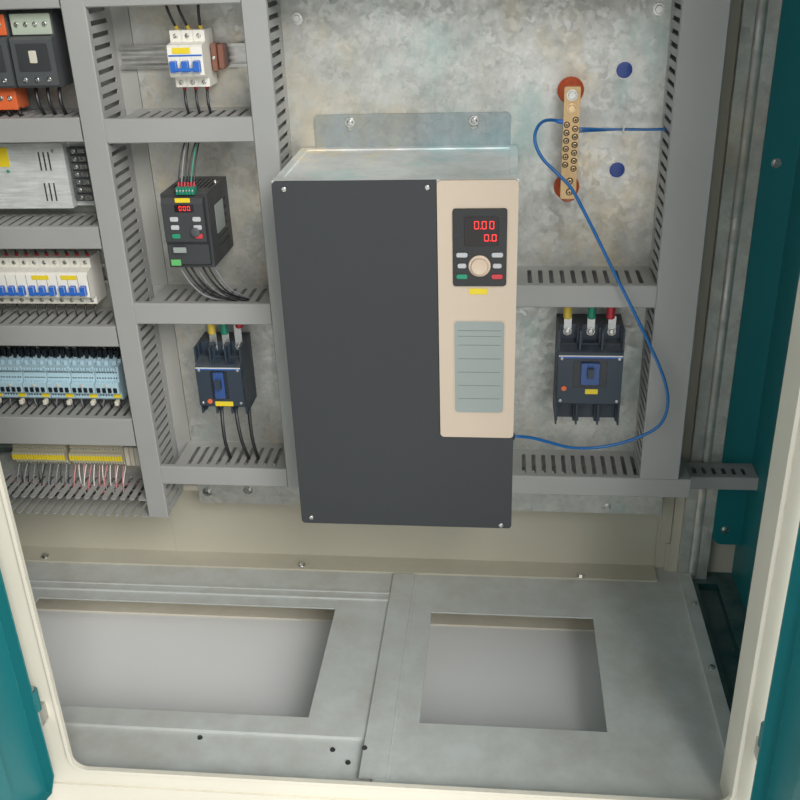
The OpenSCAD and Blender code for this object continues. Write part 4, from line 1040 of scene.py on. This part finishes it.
def plate_and_floor_details():
    rounds = Form()
    rims = Form()
    for x, z in ((516, 1065.5), (515, 915)):
        rounds.turned((x, PLATE_Y, z), OUT, [(11.9, 0), (11.9, 0.35), (11.6, 0.5)], 48)
        rims.turned((x, PLATE_Y, z), OUT, [(13.4, 0), (13.4, 0.2), (13.1, 0.25)], 48)
    rounds.make("plate_rounds", "sticker_blue")
    rims.make("plate_round_rims", "wire_white")

    bolts = Form()
    for x, z in ((-143.6, 306), (537, 288), (-20, 300), (-225, 300), (620, 560),
                 (-235, 1640), (-235, 980), (20, 1150), (560, 1150), (560, 1600)):
        bolts.bolt((x, PLATE_Y, z), OUT, 6.2)
    for x, y in ((-604, 263.5), (-59, 263.5), (499, 256)):
        bolts.bolt((x, y, LEDGE_Z), UP, 6)
    for y in (176, 2, -180):
        bolts.bolt((703, y, 118), UP, 4.6, 1.3)
    wall_edge_y = 270
    for x in (767, -767):
        for z in (915, 1330):
            bolts.bolt((x, wall_edge_y, z), OUT, 5.4)
    bolts.bolt((766, wall_edge_y, 221), OUT, 5.4)
    bolts.make("plate_bolts", "screw_steel")
    plugs = Form()
    for x, y, z in ((-138, -200, FLOOR_Z), (81, -211, FLOOR_Z), (109, -235, FLOOR_Z), (133, -214, BEAM_Z)):
        plugs.bolt((x, y, z), UP, 3.6, 1.2)
    plugs.make("floor_plugs", "wire_black")
    earth = Form()
    earth.bolt((-296, PLATE_Y, 322), OUT, 5.6)
    earth.make("earth_bolt", "ring_brass")


def shell_screws():
    """The screws that hold the back panel and the two side panels."""
    heads = Form()
    side_x, back_y, edge_x = 800, 300, 780
    for z in (140, 1760):
        for k in range(1, 6):
            heads.screw((-edge_x + 260 * k, back_y, z), BACK, 5, k)
    for side in (-1, 1):
        for z in range(140, 1761, 270):
            heads.screw((side * edge_x, back_y, z), BACK, 5, z)
            for y in (-255, 280):
                heads.screw((side * side_x, y, z), (side, 0, 0), 5, z + y)
    heads.make("shell_screws", "screw_steel")


# Floor, lamps and white background

WORLD_LIGHT = 0.56
FLOOR_SIZE_M = 24


def stage_floor():
    bpy.ops.mesh.primitive_plane_add(size=FLOOR_SIZE_M, location=(0, 0, 0))
    floor = bpy.context.object
    floor.name = "floor"
    stone = Finish("floor", (0.80, 0.80, 0.79), 0.6)
    base = stone.blend(stone.noise(1.5, 3.0), (0.79, 0.79, 0.78, 1), (0.82, 0.82, 0.81, 1))
    floor.data.materials.append(stone.done(base))


def white_world():
    """White where the camera, a mirror or a glass looks at it; a soft light elsewhere."""
    world = bpy.data.worlds.new("world")
    bpy.context.scene.world = world
    world.use_nodes = True
    nodes, links = world.node_tree.nodes, world.node_tree.links
    background = nodes["Background"]
    background.inputs["Color"].default_value = (1, 1, 1, 1)
    rays = nodes.new("ShaderNodeLightPath")
    seen = rays.outputs["Is Camera Ray"]
    for kind in ("Is Glossy Ray", "Is Transmission Ray"):
        either = nodes.new("ShaderNodeMath")
        either.operation = "MAXIMUM"
        links.new(seen, either.inputs[0])
        links.new(rays.outputs[kind], either.inputs[1])
        seen = either.outputs["Value"]
    strength = nodes.new("ShaderNodeMapRange")
    strength.inputs["To Min"].default_value = WORLD_LIGHT
    strength.inputs["To Max"].default_value = 1.0
    links.new(seen, strength.inputs["Value"])
    links.new(strength.outputs["Result"], background.inputs["Strength"])


def lamp(name, place, aim, size, watts, tint):
    """A square area lamp; places and size in metres."""
    data = bpy.data.lights.new(name, "AREA")
    data.size = size
    data.energy = watts
    data.color = tint
    made = bpy.data.objects.new(name, data)
    bpy.context.scene.collection.objects.link(made)
    made.location = place
    made.rotation_euler = (Vector(aim) - Vector(place)).to_track_quat("-Z", "Y").to_euler()


make_camera()
blue_lead()

for part in frame["record"]["subparts"]:
    node = frame["nodes"][part["node"]]
    node.data.materials.clear()
    node.data.materials.append(FINISHES[part["material_slot"]])
# The flange shares the housing's slot but gets a darker copy of its zinc: painted shade against the
# housing's lit top
frame["nodes"]["drive_flange"].data.materials[0] = FINISHES["flange_zinc_painted_shade"]

drive_details()
small_drive_details()
left_moulded_breaker()
right_moulded_breaker()
top_breaker()
breaker_row_details()
contactor_details()
power_supply_details()
relay_details()
terminal_details()
open_duct_wires()
neutral_bar_details()
plate_and_floor_details()
shell_screws()

stage_floor()
white_world()
lamp("key", (3.1, -4.7, 4.4), (-0.4, 0.1, 0.8), 3.6, 450, (1.0, 0.99, 0.97))
lamp("fill", (-3.4, -4.4, 2.9), (-0.2, 0.0, 0.9), 3.2, 36, (0.96, 0.98, 1.0))

bpy.context.scene.view_settings.view_transform = "Standard"
